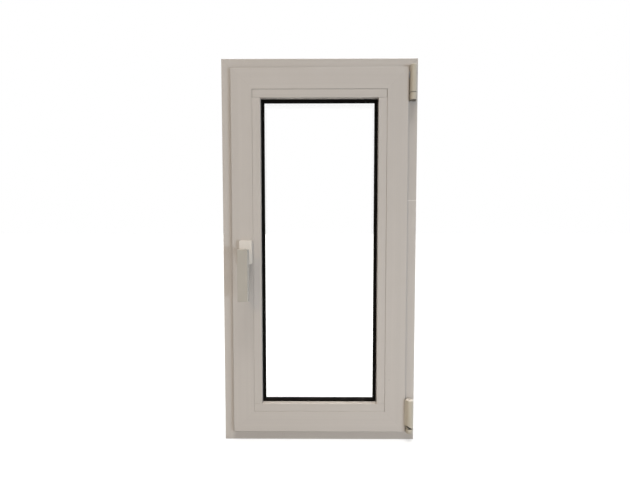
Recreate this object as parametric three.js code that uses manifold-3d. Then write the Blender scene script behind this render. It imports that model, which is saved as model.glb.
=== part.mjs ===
// A tilt-and-turn casement window: thermally broken aluminium frame and sash, a sealed glass unit,
// exposed corner hinges on the right and a lever handle on the left that drives rods round the sash.
// Millimetres, +Z up. The room side faces -Y and the weather side +Y. u is the distance inward from
// the frame's outer edge, so one section in (u, y) serves all four sides.
import * as THREE from "three";
import { mergeVertices } from "three/addons/utils/BufferGeometryUtils.js";
import Module from "manifold-3d";

const wasm = await Module();
wasm.setup();

// ---- driving dimensions ----
const WIDTH = 504;
const HEIGHT = 1000;
const GAP = 0.3; // between touching pieces
const WALL = 2; // aluminium wall

// depths
const FRAME_ROOM_Y = -30;
const FRAME_WEATHER_Y = 30;
const SASH_ROOM_Y = -38; // the sash stands 8 mm proud of the frame in the room
const BREAK_Y = [-8, 14]; // the plastic bars between the room shell and the weather shell
const BREAK_CHAMBER_Y = [-7, 13];

// distances inward from the frame's outer edge
const FRAME_REBATE_U = 30; // the frame's room shell ends here
const FRAME_BREAK_U = 26;
const FRAME_OUTER_U = 49; // the frame's weather shell ends here
const FLAP_U = 24; // edge of the sash flap that laps the frame
const GROOVE_U = 42; // mouth of the hardware groove
const SASH_OUTER_U = 54; // the sash's weather shell starts here
const SASH_BREAK_U = [58, 76]; // the sash's plastic bars
const REBATE_U = 79; // floor of the glass rebate
const BEAD_U = 100; // free edge of the glazing beads
const LEG_U = 91.5; // free edge of the sash's weather leg

// hardware groove, a T in section
const MOUTH_Y = [-28, -16];
const CHANNEL_Y = [-31, -13];
const CHANNEL_U = [45, 51];
const CHAMBER_U = [53, 76.8];
const CHAMBER_Y = [-35.8, -10.2];

// glass unit
const PANE = 6;
const INNER_PANE_Y = -12;
const CAVITY = 16;
const GLASS_U = 83;
const SPACER_U = [85, 95];
const BEAD_BACK_Y = -21.7;
const LEG_Y = 20; // room side of the sash's weather leg
const GASKET_ROOT_U = 88;
const INNER_LIP_U = 108.3;
const OUTER_LIP_U = 93;

// flap seal
const FLAP_WALL = 2;
const LIP_Y = -34.8;
const FLAP_SEAL_U = [26, 30];

// centre seal
const NOSE_U = 47;
const NOSE_Y = [3, 7.6];

// hinges
const AXIS_U = 13.5;
const AXIS_X = WIDTH / 2 - AXIS_U;
const AXIS_Y = -41;
const TILT_Z = 29; // height of the ball that the sash leans on
const TOP_BARREL_R = 8;
const TOP_BARREL_Z = [891.5, 980.5];
const TOP_SPLIT_Z = 911;
const TOP_PIN_R = 3;
const LEAF_Y = [-32.9, -30.3];
const LEAF_END_U = 37; // the hinge leaf and the crank turn in here
const BOTTOM_BARREL_R = 10;
const BOTTOM_BARREL_Z = [37, 114];
const BEARING_Z = [23, 35.4];
const BALL_R = 3;
const BALL_STEM_R = 2;
const BALL_NECK_R = 2.6; // mouth of the socket, narrower than the ball
const SWIVEL_R = 6.2;
const SWIVEL_Z = [24.7, 32.6];
const SHANK_R = 3;
const LEAF_CORE_R = 6.4;
const LEAF_Z = [45, 69];
const GROOVE_WIDTH = 2.8; // slanted groove across the lower hinge cover
const GROOVE_DEPTH = 2.2;
const GROOVE_TURN = THREE.MathUtils.degToRad(30);
const GROOVE_MIDDLE_Z = 38.9;
const WING_END = 12.6; // how far the cover's wing reaches from the axis over the sash
const WING_FRONT = 4.6;
const WING_BACK = 2.7;
const WING_Z = [45, 111.5];
const SHANK_Z = [44, 79];
const LEAF_HOLES_Z = [77, 101];
const LEAF_SCREW_Y = -22;
const SMALL_HOLE_R = 2.2; // screw holes of keeps and hinge leaf

// tilt stay
const ARM_Z = [959, 961.6];
const ARM_Y = [-29, -10];
const CRANK_Y = [-35.6, -33.2];
const CRANK_Z = [949, 965];
const CRANK_SLOT_Z = [945, 967]; // where the flap's lip and seal make room for the crank
const LEAF_SLOT_Z = [41, 73]; // and for the lower hinge leaf
const STUD_X = -32;
const STUD_R = 3;
const STUD_TOP = 969.3;
const STUD_SLIDE = 21.5; // how far the stud travels in the arm's slot
const SLOT_HALF = 6;

// handle and gear
const HANDLE_U = 61;
const HANDLE_X = -WIDTH / 2 + HANDLE_U;
const HANDLE_Z = 504;
const ROSE = [32, 62];
const ROSE_Y = [-48.3, -38.3];
const LEVER_Y = [-96, -83];
const LEVER_WIDTH = 25;
const LEVER_BACK_WIDTH = 29;
const LEVER_UP = 9.6;
const LEVER_DOWN = 120.6;
const NECK_R = 8.6;
const SPINDLE = 7;
const SPINDLE_END_Y = -15.5;
const TEETH = 15;
const PITCH_R = 11.459; // 36 mm of rod travel in half a turn of the handle
const PINION_Y = [-27, -17.5];
const GEARBOX_Z = [HANDLE_Z - 45, HANDLE_Z + 45];
const SPINDLE_HOLE_R = 6;
const SCREW_OFF = 21.5;
const SCREW_HOLE_R = 2.9;
const CASE_SCREW_R = 2.4;
const GEAR_CAVITY_R = 13.6;
const JOURNAL_R = 6.5;
const BACKLASH = 0.25; // taken off each side of a tooth

// drive rods
const ROD_U = [45.5, 48];
const ROD_Y = [-30.5, -13.5];
const CAM_Y = -22;
const CAM_U = [34.4, 39];
const CAM_R = 5;
const CAM_STEM_R = 3.4;
const SIDE_ROD_Z = [122, 914];
const TOP_ROD_X = [-128, -68];
const BOTTOM_ROD_X = [-165, 60];
const SIDE_CAM_Z = [250, 750];
const TOP_CAM_X = -80;
const BOTTOM_CAM_X = 0;
const CORNER_LEG_U = 85;
const KEEP_HALF = 30;
const KEEP_HOLE_OFF = 24;

// where the legs of the corner cleats end
const FRAME_CLEAT_END_U = 83;
const SASH_CLEAT_END_U = 129;

// ---- colours ----
function finish(color, roughness, metalness) {
  return new THREE.MeshStandardMaterial({ color, roughness, metalness });
}

const WHITE = finish("#dcd6cc", 0.5, 0);
const STEEL = finish("#9a9c9e", 0.4, 0.9);
const ZINC = finish("#8a8c90", 0.5, 0.8);
const RUBBER = finish("#131211", 0.8, 0);
const PLASTIC = finish("#1c1c1c", 0.6, 0);
const GLASS = finish("#e6efee", 0.05, 0);
const SPACER = finish("#181818", 0.5, 0);
const ALUMINIUM = finish("#b5b6b8", 0.45, 0.9);

// ---- solids ----
/** A manifold solid, facing out, from a three.js geometry. */
function solidOf(geometry) {
  const bare = geometry.clone();
  bare.deleteAttribute("normal");
  bare.deleteAttribute("uv");
  const merged = mergeVertices(bare, 1e-4);
  const triVerts = new Uint32Array(merged.index.array);
  const build = () =>
    new wasm.Manifold(
      new wasm.Mesh({ numProp: 3, vertProperties: merged.attributes.position.array, triVerts }),
    );
  const made = build();
  if (made.volume() > 0) return made;
  for (let i = 0; i < triVerts.length; i += 3) {
    [triVerts[i + 1], triVerts[i + 2]] = [triVerts[i + 2], triVerts[i + 1]];
  }
  return build();
}

/** A three.js geometry from a manifold solid. */
function geometryOf(solid) {
  const { numProp, vertProperties, triVerts } = solid.getMesh();
  const position = new Float32Array((vertProperties.length / numProp) * 3);
  for (let i = 0; i < position.length / 3; i += 1) {
    position.set(vertProperties.subarray(i * numProp, i * numProp + 3), i * 3);
  }
  const geometry = new THREE.BufferGeometry();
  geometry.setAttribute("position", new THREE.BufferAttribute(position, 3));
  geometry.setIndex(new THREE.BufferAttribute(new Uint32Array(triVerts), 1));
  const flat = geometry.toNonIndexed();
  flat.computeVertexNormals();
  return flat;
}

/** A box between two values on each axis. */
function box([x0, x1], [y0, y1], [z0, z1]) {
  const geometry = new THREE.BoxGeometry(Math.abs(x1 - x0), Math.abs(y1 - y0), Math.abs(z1 - z0));
  return solidOf(geometry.translate((x0 + x1) / 2, (y0 + y1) / 2, (z0 + z1) / 2));
}

/** A cylinder along an axis, about a centre given by the other two coordinates. */
function cylinder(radius, axis, [from, to], [a, b], sides = 40) {
  const geometry = new THREE.CylinderGeometry(radius, radius, Math.abs(to - from), sides);
  const middle = (from + to) / 2;
  if (axis === "z") return solidOf(geometry.rotateX(Math.PI / 2).translate(a, b, middle));
  if (axis === "x") return solidOf(geometry.rotateZ(Math.PI / 2).translate(middle, a, b));
  return solidOf(geometry.translate(a, middle, b));
}

/** A solid turned about a vertical line from a profile of [radius, z] points. */
function turned(profile, [x, y], sides = 48) {
  const points = profile.map(([r, z]) => new THREE.Vector2(r, z));
  const geometry = new THREE.LatheGeometry(points, sides);
  return solidOf(geometry.rotateX(Math.PI / 2).translate(x, y, 0));
}

function union(...solids) {
  return solids.reduce((all, next) => all.add(next));
}

function cut(body, ...tools) {
  return tools.reduce((left, tool) => left.subtract(tool), body);
}

// ---- sections and the four sides ----
/** The corners of a rectangle in (u, y). */
function rectangle([u0, u1], [y0, y1]) {
  return [[u0, y0], [u1, y0], [u1, y1], [u0, y1]];
}

/** A section with an outline and any number of chambers. */
function section(outline, ...chambers) {
  const shape = new THREE.Shape(outline.map(([u, y]) => new THREE.Vector2(u, y)));
  shape.holes = chambers.map((hole) => new THREE.Path(hole.map(([u, y]) => new THREE.Vector2(u, y))));
  return shape;
}

// Where a point at distance u inward, depth y and s along a side stands.
const SIDES = {
  left: { length: HEIGHT, at: (u, y, s) => [-WIDTH / 2 + u, y, s] },
  right: { length: HEIGHT, at: (u, y, s) => [WIDTH / 2 - u, y, s] },
  bottom: { length: WIDTH, at: (u, y, s) => [-WIDTH / 2 + s, y, u] },
  top: { length: WIDTH, at: (u, y, s) => [-WIDTH / 2 + s, y, HEIGHT - u] },
};

/** A section run along one side, from start(u) to the same distance from the far corner. */
function bar(shape, side, start) {
  const { length, at } = SIDES[side];
  const geometry = new THREE.ExtrudeGeometry(shape, { depth: 1, bevelEnabled: false });
  const position = geometry.attributes.position;
  for (let i = 0; i < position.count; i += 1) {
    const u = position.getX(i);
    const s = position.getZ(i) < 0.5 ? start(u) : length - start(u);
    position.setXYZ(i, ...at(u, position.getY(i), s));
  }
  return solidOf(geometry);
}

/** A bar mitred at both ends, half a gap short of its neighbours. */
function mitredBar(shape, side) {
  return bar(shape, side, (u) => u + GAP / Math.SQRT2);
}

/** A section run round all four sides as one piece. */
function ring(shape) {
  return union(...Object.keys(SIDES).map((side) => bar(shape, side, (u) => u)));
}

/** A box given in a side's own u, y and s. */
function sideBox(side, u, y, s) {
  const low = SIDES[side].at(u[0], y[0], s[0]);
  const high = SIDES[side].at(u[1], y[1], s[1]);
  return box([low[0], high[0]], [low[1], high[1]], [low[2], high[2]]);
}

/** A round bar across a side: along u, at depth y and s. */
function sidePin(side, radius, u, y, s, sides = 28) {
  const from = SIDES[side].at(u[0], y, s);
  const to = SIDES[side].at(u[1], y, s);
  if (side === "left" || side === "right") return cylinder(radius, "x", [from[0], to[0]], [y, s], sides);
  return cylinder(radius, "z", [from[2], to[2]], [from[0], y], sides);
}

/** An L-shaped block in one corner: u range of both legs, their far end, and depth range. */
function cornerBlock(vertical, horizontal, [u0, u1], legEnd, y) {
  const x = horizontal === "left" ? (u) => -WIDTH / 2 + u : (u) => WIDTH / 2 - u;
  const z = vertical === "bottom" ? (u) => u : (u) => HEIGHT - u;
  const upright = box([x(u0), x(u1)], y, [z(u0), z(legEnd)]);
  const level = box([x(u0), x(legEnd)], y, [z(u0), z(u1)]);
  return upright.add(level);
}

// ---- frame ----
const FRAME_SECTION = section(
  [
    [0, FRAME_ROOM_Y],
    [FRAME_REBATE_U, FRAME_ROOM_Y],
    [FRAME_REBATE_U, BREAK_Y[0]],
    [FRAME_BREAK_U, BREAK_Y[0]],
    [FRAME_BREAK_U, BREAK_Y[1]],
    [FRAME_OUTER_U, BREAK_Y[1]],
    [FRAME_OUTER_U, FRAME_WEATHER_Y],
    [0, FRAME_WEATHER_Y],
  ],
  rectangle([WALL, FRAME_REBATE_U - WALL], [FRAME_ROOM_Y + WALL, BREAK_Y[0] - WALL]),
  rectangle([2 * WALL, FRAME_BREAK_U - WALL], BREAK_CHAMBER_Y),
  rectangle([WALL, FRAME_OUTER_U - WALL], [BREAK_Y[1] + WALL, FRAME_WEATHER_Y - WALL]),
);
const DRAIN_X = [-130, 130];
const DRAIN_HALF = 13;
const DRAIN_Z = [8, 13];

function frameSill() {
  const slots = DRAIN_X.flatMap((x) => {
    const across = [x - DRAIN_HALF, x + DRAIN_HALF];
    const outlet = box(across, [FRAME_WEATHER_Y - WALL - 0.5, FRAME_WEATHER_Y + 0.5], DRAIN_Z);
    const inlet = box(across, [BREAK_Y[1] - 0.5, BREAK_Y[1] + WALL + 0.5], [28, 33]);
    return [outlet, inlet];
  });
  return cut(mitredBar(FRAME_SECTION, "bottom"), ...slots);
}

/** A hood over a drain slot on the weather side, open downwards. */
function drainCap(x) {
  const y = [FRAME_WEATHER_Y + GAP, FRAME_WEATHER_Y + 5];
  const hood = box([x - 19, x + 19], y, [4, 17]);
  const hollow = box([x - 17, x + 17], [y[0] - 0.5, y[1] - 1.5], [3, 15]);
  return cut(hood, hollow);
}

function frameCleat(vertical, horizontal) {
  const u = [WALL + GAP, FRAME_REBATE_U - WALL - GAP];
  const y = [FRAME_ROOM_Y + WALL + GAP, BREAK_Y[0] - WALL - GAP];
  return cornerBlock(vertical, horizontal, u, FRAME_CLEAT_END_U, y);
}

function frameCentreSeal() {
  const back = BREAK_Y[1] - GAP;
  return ring(section([[39, 11], [44, 11], [46, 8], [FRAME_OUTER_U, 8], [FRAME_OUTER_U, back], [39, back]]));
}

/** A keep on the frame's rebate face: base plate, low rail, two screw holes. */
function keep(side, s) {
  const plateTop = FRAME_REBATE_U + GAP + 2;
  const y = [-29.6, -12];
  const middle = (y[0] + y[1]) / 2;
  const plate = sideBox(side, [FRAME_REBATE_U + GAP, plateTop], y, [s - KEEP_HALF, s + KEEP_HALF]);
  const rail = sideBox(side, [plateTop - 0.5, plateTop + 1.2], [y[0], y[0] + 2], [s - 18, s + 18]);
  const through = [FRAME_REBATE_U, plateTop + 1];
  const holes = [-KEEP_HOLE_OFF, KEEP_HOLE_OFF].map((off) =>
    sidePin(side, SMALL_HOLE_R, through, middle, s + off, 20));
  return cut(union(plate, rail), ...holes);
}

// ---- hinges ----
function topHingeBearing() {
  const z = [TOP_BARREL_Z[0], TOP_SPLIT_Z - 0.5];
  const barrel = cylinder(TOP_BARREL_R, "z", z, [AXIS_X, AXIS_Y]);
  const web = box([AXIS_X - 6.5, AXIS_X + 6.5], [AXIS_Y + 2, LEAF_Y[1]], z);
  const leaf = box([AXIS_X - TOP_BARREL_R, AXIS_X + TOP_BARREL_R], LEAF_Y, TOP_BARREL_Z);
  const bore = cylinder(TOP_PIN_R + GAP, "z", [z[0] + 2, z[1] + 1], [AXIS_X, AXIS_Y], 28);
  return cut(union(barrel, web, leaf), bore);
}

function topHingePin() {
  const z = [TOP_BARREL_Z[0] + 2 + GAP, TOP_BARREL_Z[1] - 4];
  return cylinder(TOP_PIN_R, "z", z, [AXIS_X, AXIS_Y], 28);
}

/** The round cover over the stay arm's eye, slit for the crank. */
function topHingeCover() {
  const [low, high] = [TOP_SPLIT_Z + 0.3, TOP_BARREL_Z[1]];
  const inner = TOP_BARREL_R - 1.6;
  const shell = turned(
    [[inner, low], [TOP_BARREL_R, low], [TOP_BARREL_R, high - 1], [TOP_BARREL_R - 1, high], [0, high],
      [0, high - 2], [inner, high - 2], [inner, low]],
    [AXIS_X, AXIS_Y],
  );
  const open = [CRANK_Z[0] - 1, CRANK_Z[1] + 1];
  const slit = box([AXIS_X - 12, AXIS_X + 3.4], [CRANK_Y[0] - 1, AXIS_Y + 10], open);
  return cut(shell, slit);
}

/** Eye, crank through the slot behind the sash flap, and the slotted arm in the rebate above the sash. */
function stayArm() {
  const eyeR = TOP_BARREL_R - 1.6 - GAP;
  const eye = cylinder(eyeR, "z", [CRANK_Z[0] - 22, CRANK_Z[1] + 6], [AXIS_X, AXIS_Y]);
  const bore = cylinder(TOP_PIN_R + GAP, "z", [CRANK_Z[0] - 30, CRANK_Z[1] + 12], [AXIS_X, AXIS_Y], 28);
  const crankEnd = WIDTH / 2 - LEAF_END_U;
  const root = box([AXIS_X - 3.4, AXIS_X], [AXIS_Y, CRANK_Y[1]], CRANK_Z);
  const crank = box([crankEnd, AXIS_X], CRANK_Y, CRANK_Z);
  const turnIn = box([crankEnd, crankEnd + 4], [CRANK_Y[0], ARM_Y[0] + 3], [ARM_Z[0] - 3, CRANK_Z[1]]);
  const slotX = [STUD_X - STUD_SLIDE, STUD_X];
  const middle = (ARM_Y[0] + ARM_Y[1]) / 2;
  const flat = box([slotX[0], crankEnd + 4], ARM_Y, ARM_Z);
  const arm = flat.add(cylinder((ARM_Y[1] - ARM_Y[0]) / 2, "z", ARM_Z, [slotX[0], middle], 36));
  const slotZ = [ARM_Z[0] - 1, ARM_Z[1] + 1];
  const slot = box([slotX[0], slotX[1]], [middle - SLOT_HALF, middle + SLOT_HALF], slotZ);
  const ends = slotX.map((x) => cylinder(SLOT_HALF, "z", slotZ, [x, middle], 28));
  return cut(union(eye, root, crank, turnIn, arm), bore, slot, ...ends);
}

/** The block and stud on the sash that the arm slides on when the sash tilts. */
function stayGuide() {
  const across = [MOUTH_Y[0] + GAP, MOUTH_Y[1] - GAP];
  const block = box([STUD_X - 28, STUD_X + 30], across, [HEIGHT - CHANNEL_U[1] + 0.5, HEIGHT - GROOVE_U]);
  const centre = [STUD_X, (ARM_Y[0] + ARM_Y[1]) / 2];
  const stud = cylinder(STUD_R, "z", [HEIGHT - GROOVE_U - 2, STUD_TOP], centre, 28);
  return union(block, stud);
}

/** The fixed lower block on the frame, narrower at its foot, with a blind bore for the swivel. */
function bottomHingeBearing() {
  const [low, high] = BEARING_Z;
  const r = BOTTOM_BARREL_R - 0.4;
  const profile = [[0, low], [r - 1.8, low], [r, low + 6], [r, high - 0.8], [r - 0.8, high], [0, high]];
  const foot = box([AXIS_X - 9, AXIS_X + 9], [AXIS_Y + 2, FRAME_ROOM_Y - GAP], BEARING_Z);
  const bore = cylinder(SWIVEL_R + GAP, "z", [SWIVEL_Z[0] - GAP, high + 1], [AXIS_X, AXIS_Y], 32);
  return cut(union(turned(profile, [AXIS_X, AXIS_Y], 40), foot), bore);
}

/** Points on a quarter-and-more circle about the tilt centre, from straight down up to an angle. */
function ballProfile(radius, end) {
  const start = -Math.PI / 2;
  const steps = 10;
  return Array.from({ length: steps + 1 }, (_, i) => {
    const angle = start + ((end - start) * i) / steps;
    return [i === 0 ? 0 : radius * Math.cos(angle), TILT_Z + radius * Math.sin(angle)];
  });
}

/** Ball socket that turns in the bearing and lets the sash pin lean when the sash tilts. */
function bottomHingeSwivel() {
  const seat = BALL_R + GAP;
  const cavity = ballProfile(seat, Math.acos(BALL_NECK_R / seat)).reverse();
  const [low, high] = SWIVEL_Z;
  const outer = [[0, low], [SWIVEL_R, low], [SWIVEL_R, high], [SWIVEL_R - 1.6, high]];
  return turned([...outer, ...cavity], [AXIS_X, AXIS_Y], 32);
}

/** Ball, stem and the shank that sits in the sash leaf. */
function bottomHingePin() {
  const ball = ballProfile(BALL_R, Math.acos(BALL_STEM_R / BALL_R));
  const [low, high] = SHANK_Z;
  const profile = [...ball, [BALL_STEM_R, low - 2], [SHANK_R, low], [SHANK_R, high], [0, high]];
  return turned(profile, [AXIS_X, AXIS_Y], 32);
}

/** Core round the pin, a leaf through the slot behind the flap, and a plate on the sash's edge. */
function bottomHingeLeaf() {
  const core = cylinder(LEAF_CORE_R, "z", [SHANK_Z[0], 105], [AXIS_X, AXIS_Y], 36);
  const bore = cylinder(SHANK_R + GAP, "z", [SHANK_Z[0] - 2, SHANK_Z[1] + 1], [AXIS_X, AXIS_Y], 28);
  const root = WIDTH / 2 - LEAF_END_U;
  const leaf = box([root - 0.5, AXIS_X + 2], [CRANK_Y[0], CRANK_Y[0] + 4], LEAF_Z);
  const plate = box([WIDTH / 2 - GROOVE_U + GAP, root], [CRANK_Y[0], -14], [LEAF_Z[0], 111]);
  const holes = LEAF_HOLES_Z.map((z) =>
    sidePin("right", SMALL_HOLE_R, [LEAF_END_U - 1, GROOVE_U], LEAF_SCREW_Y, z, 20));
  return cut(union(core, leaf, plate), bore, ...holes);
}

/** A solid wing with a sloped face, from the lower hinge's cover over the edge of the sash. */
function bottomHingeWing() {
  const root = LEAF_CORE_R + 0.8;
  const slope = WING_FRONT - 1.4;
  const outline = [
    [-WING_END, WING_BACK],
    [-root, WING_BACK],
    [-root, -WING_FRONT],
    [slope - WING_END, -WING_FRONT],
    [-WING_END, slope - WING_FRONT],
  ];
  const shape = new THREE.Shape(outline.map(([x, y]) => new THREE.Vector2(AXIS_X + x, AXIS_Y + y)));
  const run = { depth: WING_Z[1] - WING_Z[0], bevelEnabled: false };
  return solidOf(new THREE.ExtrudeGeometry(shape, run).translate(0, 0, WING_Z[0]));
}

/** The round cover of the lower hinge: chamfered foot, domed cap with a socket hole, slanted front groove. */
function bottomHingeCover() {
  const [low, high] = BOTTOM_BARREL_Z;
  const r = BOTTOM_BARREL_R;
  const inner = LEAF_CORE_R + 0.4;
  const dome = 2.5;
  const outer = [[r - 1.2, low], [r, low + 1.2], [r, high - dome], [r - 1, high - dome / 3], [r - 4, high]];
  const hole = [[2.4, high], [2.4, high - 4], [inner, high - 4]];
  const shell = turned([[inner, low], ...outer, ...hole, [inner, low]], [AXIS_X, AXIS_Y]);
  const slit = box([AXIS_X - 14, AXIS_X + 2.4], [CRANK_Y[0] - GAP, AXIS_Y + 12], [low - 1, LEAF_Z[1] + 0.4]);
  const slab = new THREE.BoxGeometry(3 * r, r, GROOVE_WIDTH)
    .rotateY(GROOVE_TURN)
    .translate(AXIS_X, AXIS_Y - r / 2 - 3, GROOVE_MIDDLE_Z);
  const keepIn = cylinder(r - GROOVE_DEPTH, "z", [low - 1, high], [AXIS_X, AXIS_Y]);
  return cut(shell, slit, solidOf(slab).subtract(keepIn)).add(bottomHingeWing());
}

// ---- sash ----
const SASH_SECTION = section(
  [
    [FLAP_U, SASH_ROOM_Y],
    [REBATE_U, SASH_ROOM_Y],
    [REBATE_U, BREAK_Y[0]],
    [SASH_BREAK_U[1], BREAK_Y[0]],
    [SASH_BREAK_U[1], BREAK_Y[1]],
    [REBATE_U, BREAK_Y[1]],
    [REBATE_U, LEG_Y],
    [LEG_U, LEG_Y],
    [LEG_U, FRAME_WEATHER_Y],
    [SASH_OUTER_U, FRAME_WEATHER_Y],
    [SASH_OUTER_U, BREAK_Y[1]],
    [SASH_BREAK_U[0], BREAK_Y[1]],
    [SASH_BREAK_U[0], NOSE_Y[1]],
    [NOSE_U, NOSE_Y[1]],
    [NOSE_U, NOSE_Y[0] + 2],
    [NOSE_U + 2, NOSE_Y[0]],
    [SASH_BREAK_U[0], NOSE_Y[0]],
    [SASH_BREAK_U[0], BREAK_Y[0]],
    [GROOVE_U, BREAK_Y[0]],
    [GROOVE_U, MOUTH_Y[1]],
    [CHANNEL_U[0], MOUTH_Y[1]],
    [CHANNEL_U[0], CHANNEL_Y[1]],
    [CHANNEL_U[1], CHANNEL_Y[1]],
    [CHANNEL_U[1], CHANNEL_Y[0]],
    [CHANNEL_U[0], CHANNEL_Y[0]],
    [CHANNEL_U[0], MOUTH_Y[0]],
    [GROOVE_U, MOUTH_Y[0]],
    [GROOVE_U, SASH_ROOM_Y + FLAP_WALL],
    [FLAP_U + 1.5, SASH_ROOM_Y + FLAP_WALL],
    [FLAP_U + 1.5, LIP_Y],
    [FLAP_U, LIP_Y],
  ],
  rectangle(CHAMBER_U, CHAMBER_Y),
  rectangle([SASH_BREAK_U[0] + WALL, SASH_BREAK_U[1] - WALL], BREAK_CHAMBER_Y),
  [
    [SASH_OUTER_U + WALL, BREAK_Y[1] + WALL],
    [REBATE_U - WALL, BREAK_Y[1] + WALL],
    [REBATE_U - WALL, LEG_Y + WALL],
    [LEG_U - WALL, LEG_Y + WALL],
    [LEG_U - WALL, FRAME_WEATHER_Y - WALL],
    [SASH_OUTER_U + WALL, FRAME_WEATHER_Y - WALL],
  ],
);

function sashLeftStile() {
  const reach = [HANDLE_Z - 62, HANDLE_Z + 62];
  const pocket = sideBox("left", [CHANNEL_U[1] - 1, CHAMBER_U[0] + 1], CHANNEL_Y, reach);
  const wall = [SASH_ROOM_Y - 1, CHAMBER_Y[0] + 1];
  const spindleHole = cylinder(SPINDLE_HOLE_R, "y", wall, [HANDLE_X, HANDLE_Z]);
  const screwHoles = [-SCREW_OFF, SCREW_OFF].map((off) =>
    cylinder(SCREW_HOLE_R, "y", wall, [HANDLE_X, HANDLE_Z + off], 24));
  return cut(mitredBar(SASH_SECTION, "left"), pocket, spindleHole, ...screwHoles);
}

function sashRightStile() {
  const lip = (z) => sideBox("right", [FLAP_U - 1, FLAP_U + 3], [SASH_ROOM_Y + FLAP_WALL, LIP_Y + 1], z);
  return cut(mitredBar(SASH_SECTION, "right"), lip(LEAF_SLOT_Z), lip(CRANK_SLOT_Z));
}

function sashCleat(vertical, horizontal) {
  const u = [CHAMBER_U[0] + GAP, CHAMBER_U[1] - GAP];
  const y = [CHAMBER_Y[0] + GAP, CHAMBER_Y[1] - GAP];
  return cornerBlock(vertical, horizontal, u, SASH_CLEAT_END_U, y);
}

function flapSealRing() {
  const [inner, outer] = FLAP_SEAL_U;
  const root = SASH_ROOM_Y + FLAP_WALL + 0.2;
  const tip = FRAME_ROOM_Y - GAP;
  const taper = -33;
  const foot = [[inner, root], [outer, root], [outer, taper]];
  return ring(section([...foot, [outer - 1, tip], [inner + 1, tip], [inner, taper]]));
}

/** A block over the flap seal's hinge side, between two heights. */
function hingeSideBlock(z) {
  return sideBox("right", [21, 35], [-40, -28], z);
}

function flapSeal() {
  return cut(flapSealRing(), hingeSideBlock([LEAF_SLOT_Z[0], CRANK_SLOT_Z[1]]));
}

function hingeSideSeal() {
  return flapSealRing().intersect(hingeSideBlock([LEAF_SLOT_Z[1], CRANK_SLOT_Z[0]]));
}

// ---- glazing ----
const BEAD_SECTION = section(
  rectangle([REBATE_U + GAP, BEAD_U], [SASH_ROOM_Y, BEAD_BACK_Y]),
  rectangle([REBATE_U + GAP + 1.5, BEAD_U - 1.5], [SASH_ROOM_Y + 1.5, BEAD_BACK_Y - 1.5]),
);

/** Top and bottom beads run the full width; the side beads butt between them. */
function bead(side) {
  const level = side === "top" || side === "bottom";
  return bar(BEAD_SECTION, side, () => (level ? REBATE_U : BEAD_U) + GAP);
}

/** A wedge from the bead's edge to a lip on the inner pane. */
function innerGasket() {
  const [back, face] = [BEAD_BACK_Y + GAP, INNER_PANE_Y - GAP];
  return ring(
    section([
      [GASKET_ROOT_U, back],
      [BEAD_U - 0.4, back],
      [BEAD_U + 2.4, back + 1],
      [BEAD_U + 5.4, back + 4],
      [INNER_LIP_U, face - 1.4],
      [INNER_LIP_U, face],
      [GASKET_ROOT_U, face],
    ]),
  );
}

function outerGasket() {
  const [face, back] = [INNER_PANE_Y + 2 * PANE + CAVITY + GAP, LEG_Y - GAP];
  const tip = [[OUTER_LIP_U, face], [OUTER_LIP_U, face + 0.8], [LEG_U, back]];
  return ring(section([[GASKET_ROOT_U, face], ...tip, [GASKET_ROOT_U, back]]));
}

function pane(room) {
  const x = WIDTH / 2 - GLASS_U;
  return box([-x, x], [room, room + PANE], [GLASS_U, HEIGHT - GLASS_U]);
}

function spacerBar() {
  const y = [INNER_PANE_Y + PANE + 0.2, INNER_PANE_Y + PANE + CAVITY - 0.2];
  return ring(section(rectangle(SPACER_U, y)));
}

function settingBlock(x) {
  const y = [INNER_PANE_Y, INNER_PANE_Y + 2 * PANE + CAVITY];
  return box([x - 35, x + 35], y, [REBATE_U + GAP, GLASS_U - GAP]);
}

// ---- handle and gear ----
/** A rounded rectangle across the handle's axis, from one depth to another. */
function roundedPlate([w, h], radius, [y0, y1]) {
  const shape = new THREE.Shape();
  const [a, b] = [w / 2, h / 2];
  shape.moveTo(-a + radius, -b);
  shape.lineTo(a - radius, -b);
  shape.absarc(a - radius, -b + radius, radius, -Math.PI / 2, 0);
  shape.lineTo(a, b - radius);
  shape.absarc(a - radius, b - radius, radius, 0, Math.PI / 2);
  shape.lineTo(-a + radius, b);
  shape.absarc(-a + radius, b - radius, radius, Math.PI / 2, Math.PI);
  shape.lineTo(-a, -b + radius);
  shape.absarc(-a + radius, -b + radius, radius, Math.PI, Math.PI * 1.5);
  const run = { depth: y1 - y0, bevelEnabled: false, curveSegments: 6 };
  const geometry = new THREE.ExtrudeGeometry(shape, run);
  return solidOf(geometry.rotateX(Math.PI / 2).translate(HANDLE_X, y1, HANDLE_Z));
}

function handleBasePlate() {
  const y = [ROSE_Y[1] - 4, ROSE_Y[1]];
  const plate = roundedPlate([ROSE[0] - 5, ROSE[1] - 5], 2, y);
  const hole = cylinder(SPINDLE_HOLE_R, "y", [y[0] - 1, y[1] + 1], [HANDLE_X, HANDLE_Z]);
  const screwHoles = [-SCREW_OFF, SCREW_OFF].map((off) =>
    cylinder(SCREW_HOLE_R, "y", [y[0] - 1, y[1] + 1], [HANDLE_X, HANDLE_Z + off], 24));
  return cut(plate, hole, ...screwHoles);
}

function handleCover() {
  const shell = roundedPlate(ROSE, 4, ROSE_Y);
  const hollow = roundedPlate([ROSE[0] - 4, ROSE[1] - 4], 2.5, [ROSE_Y[0] + 2, ROSE_Y[1] + 1]);
  const hole = cylinder(NECK_R + 0.4, "y", [ROSE_Y[0] - 1, ROSE_Y[0] + 3], [HANDLE_X, HANDLE_Z]);
  return cut(shell, hollow, hole);
}

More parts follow.
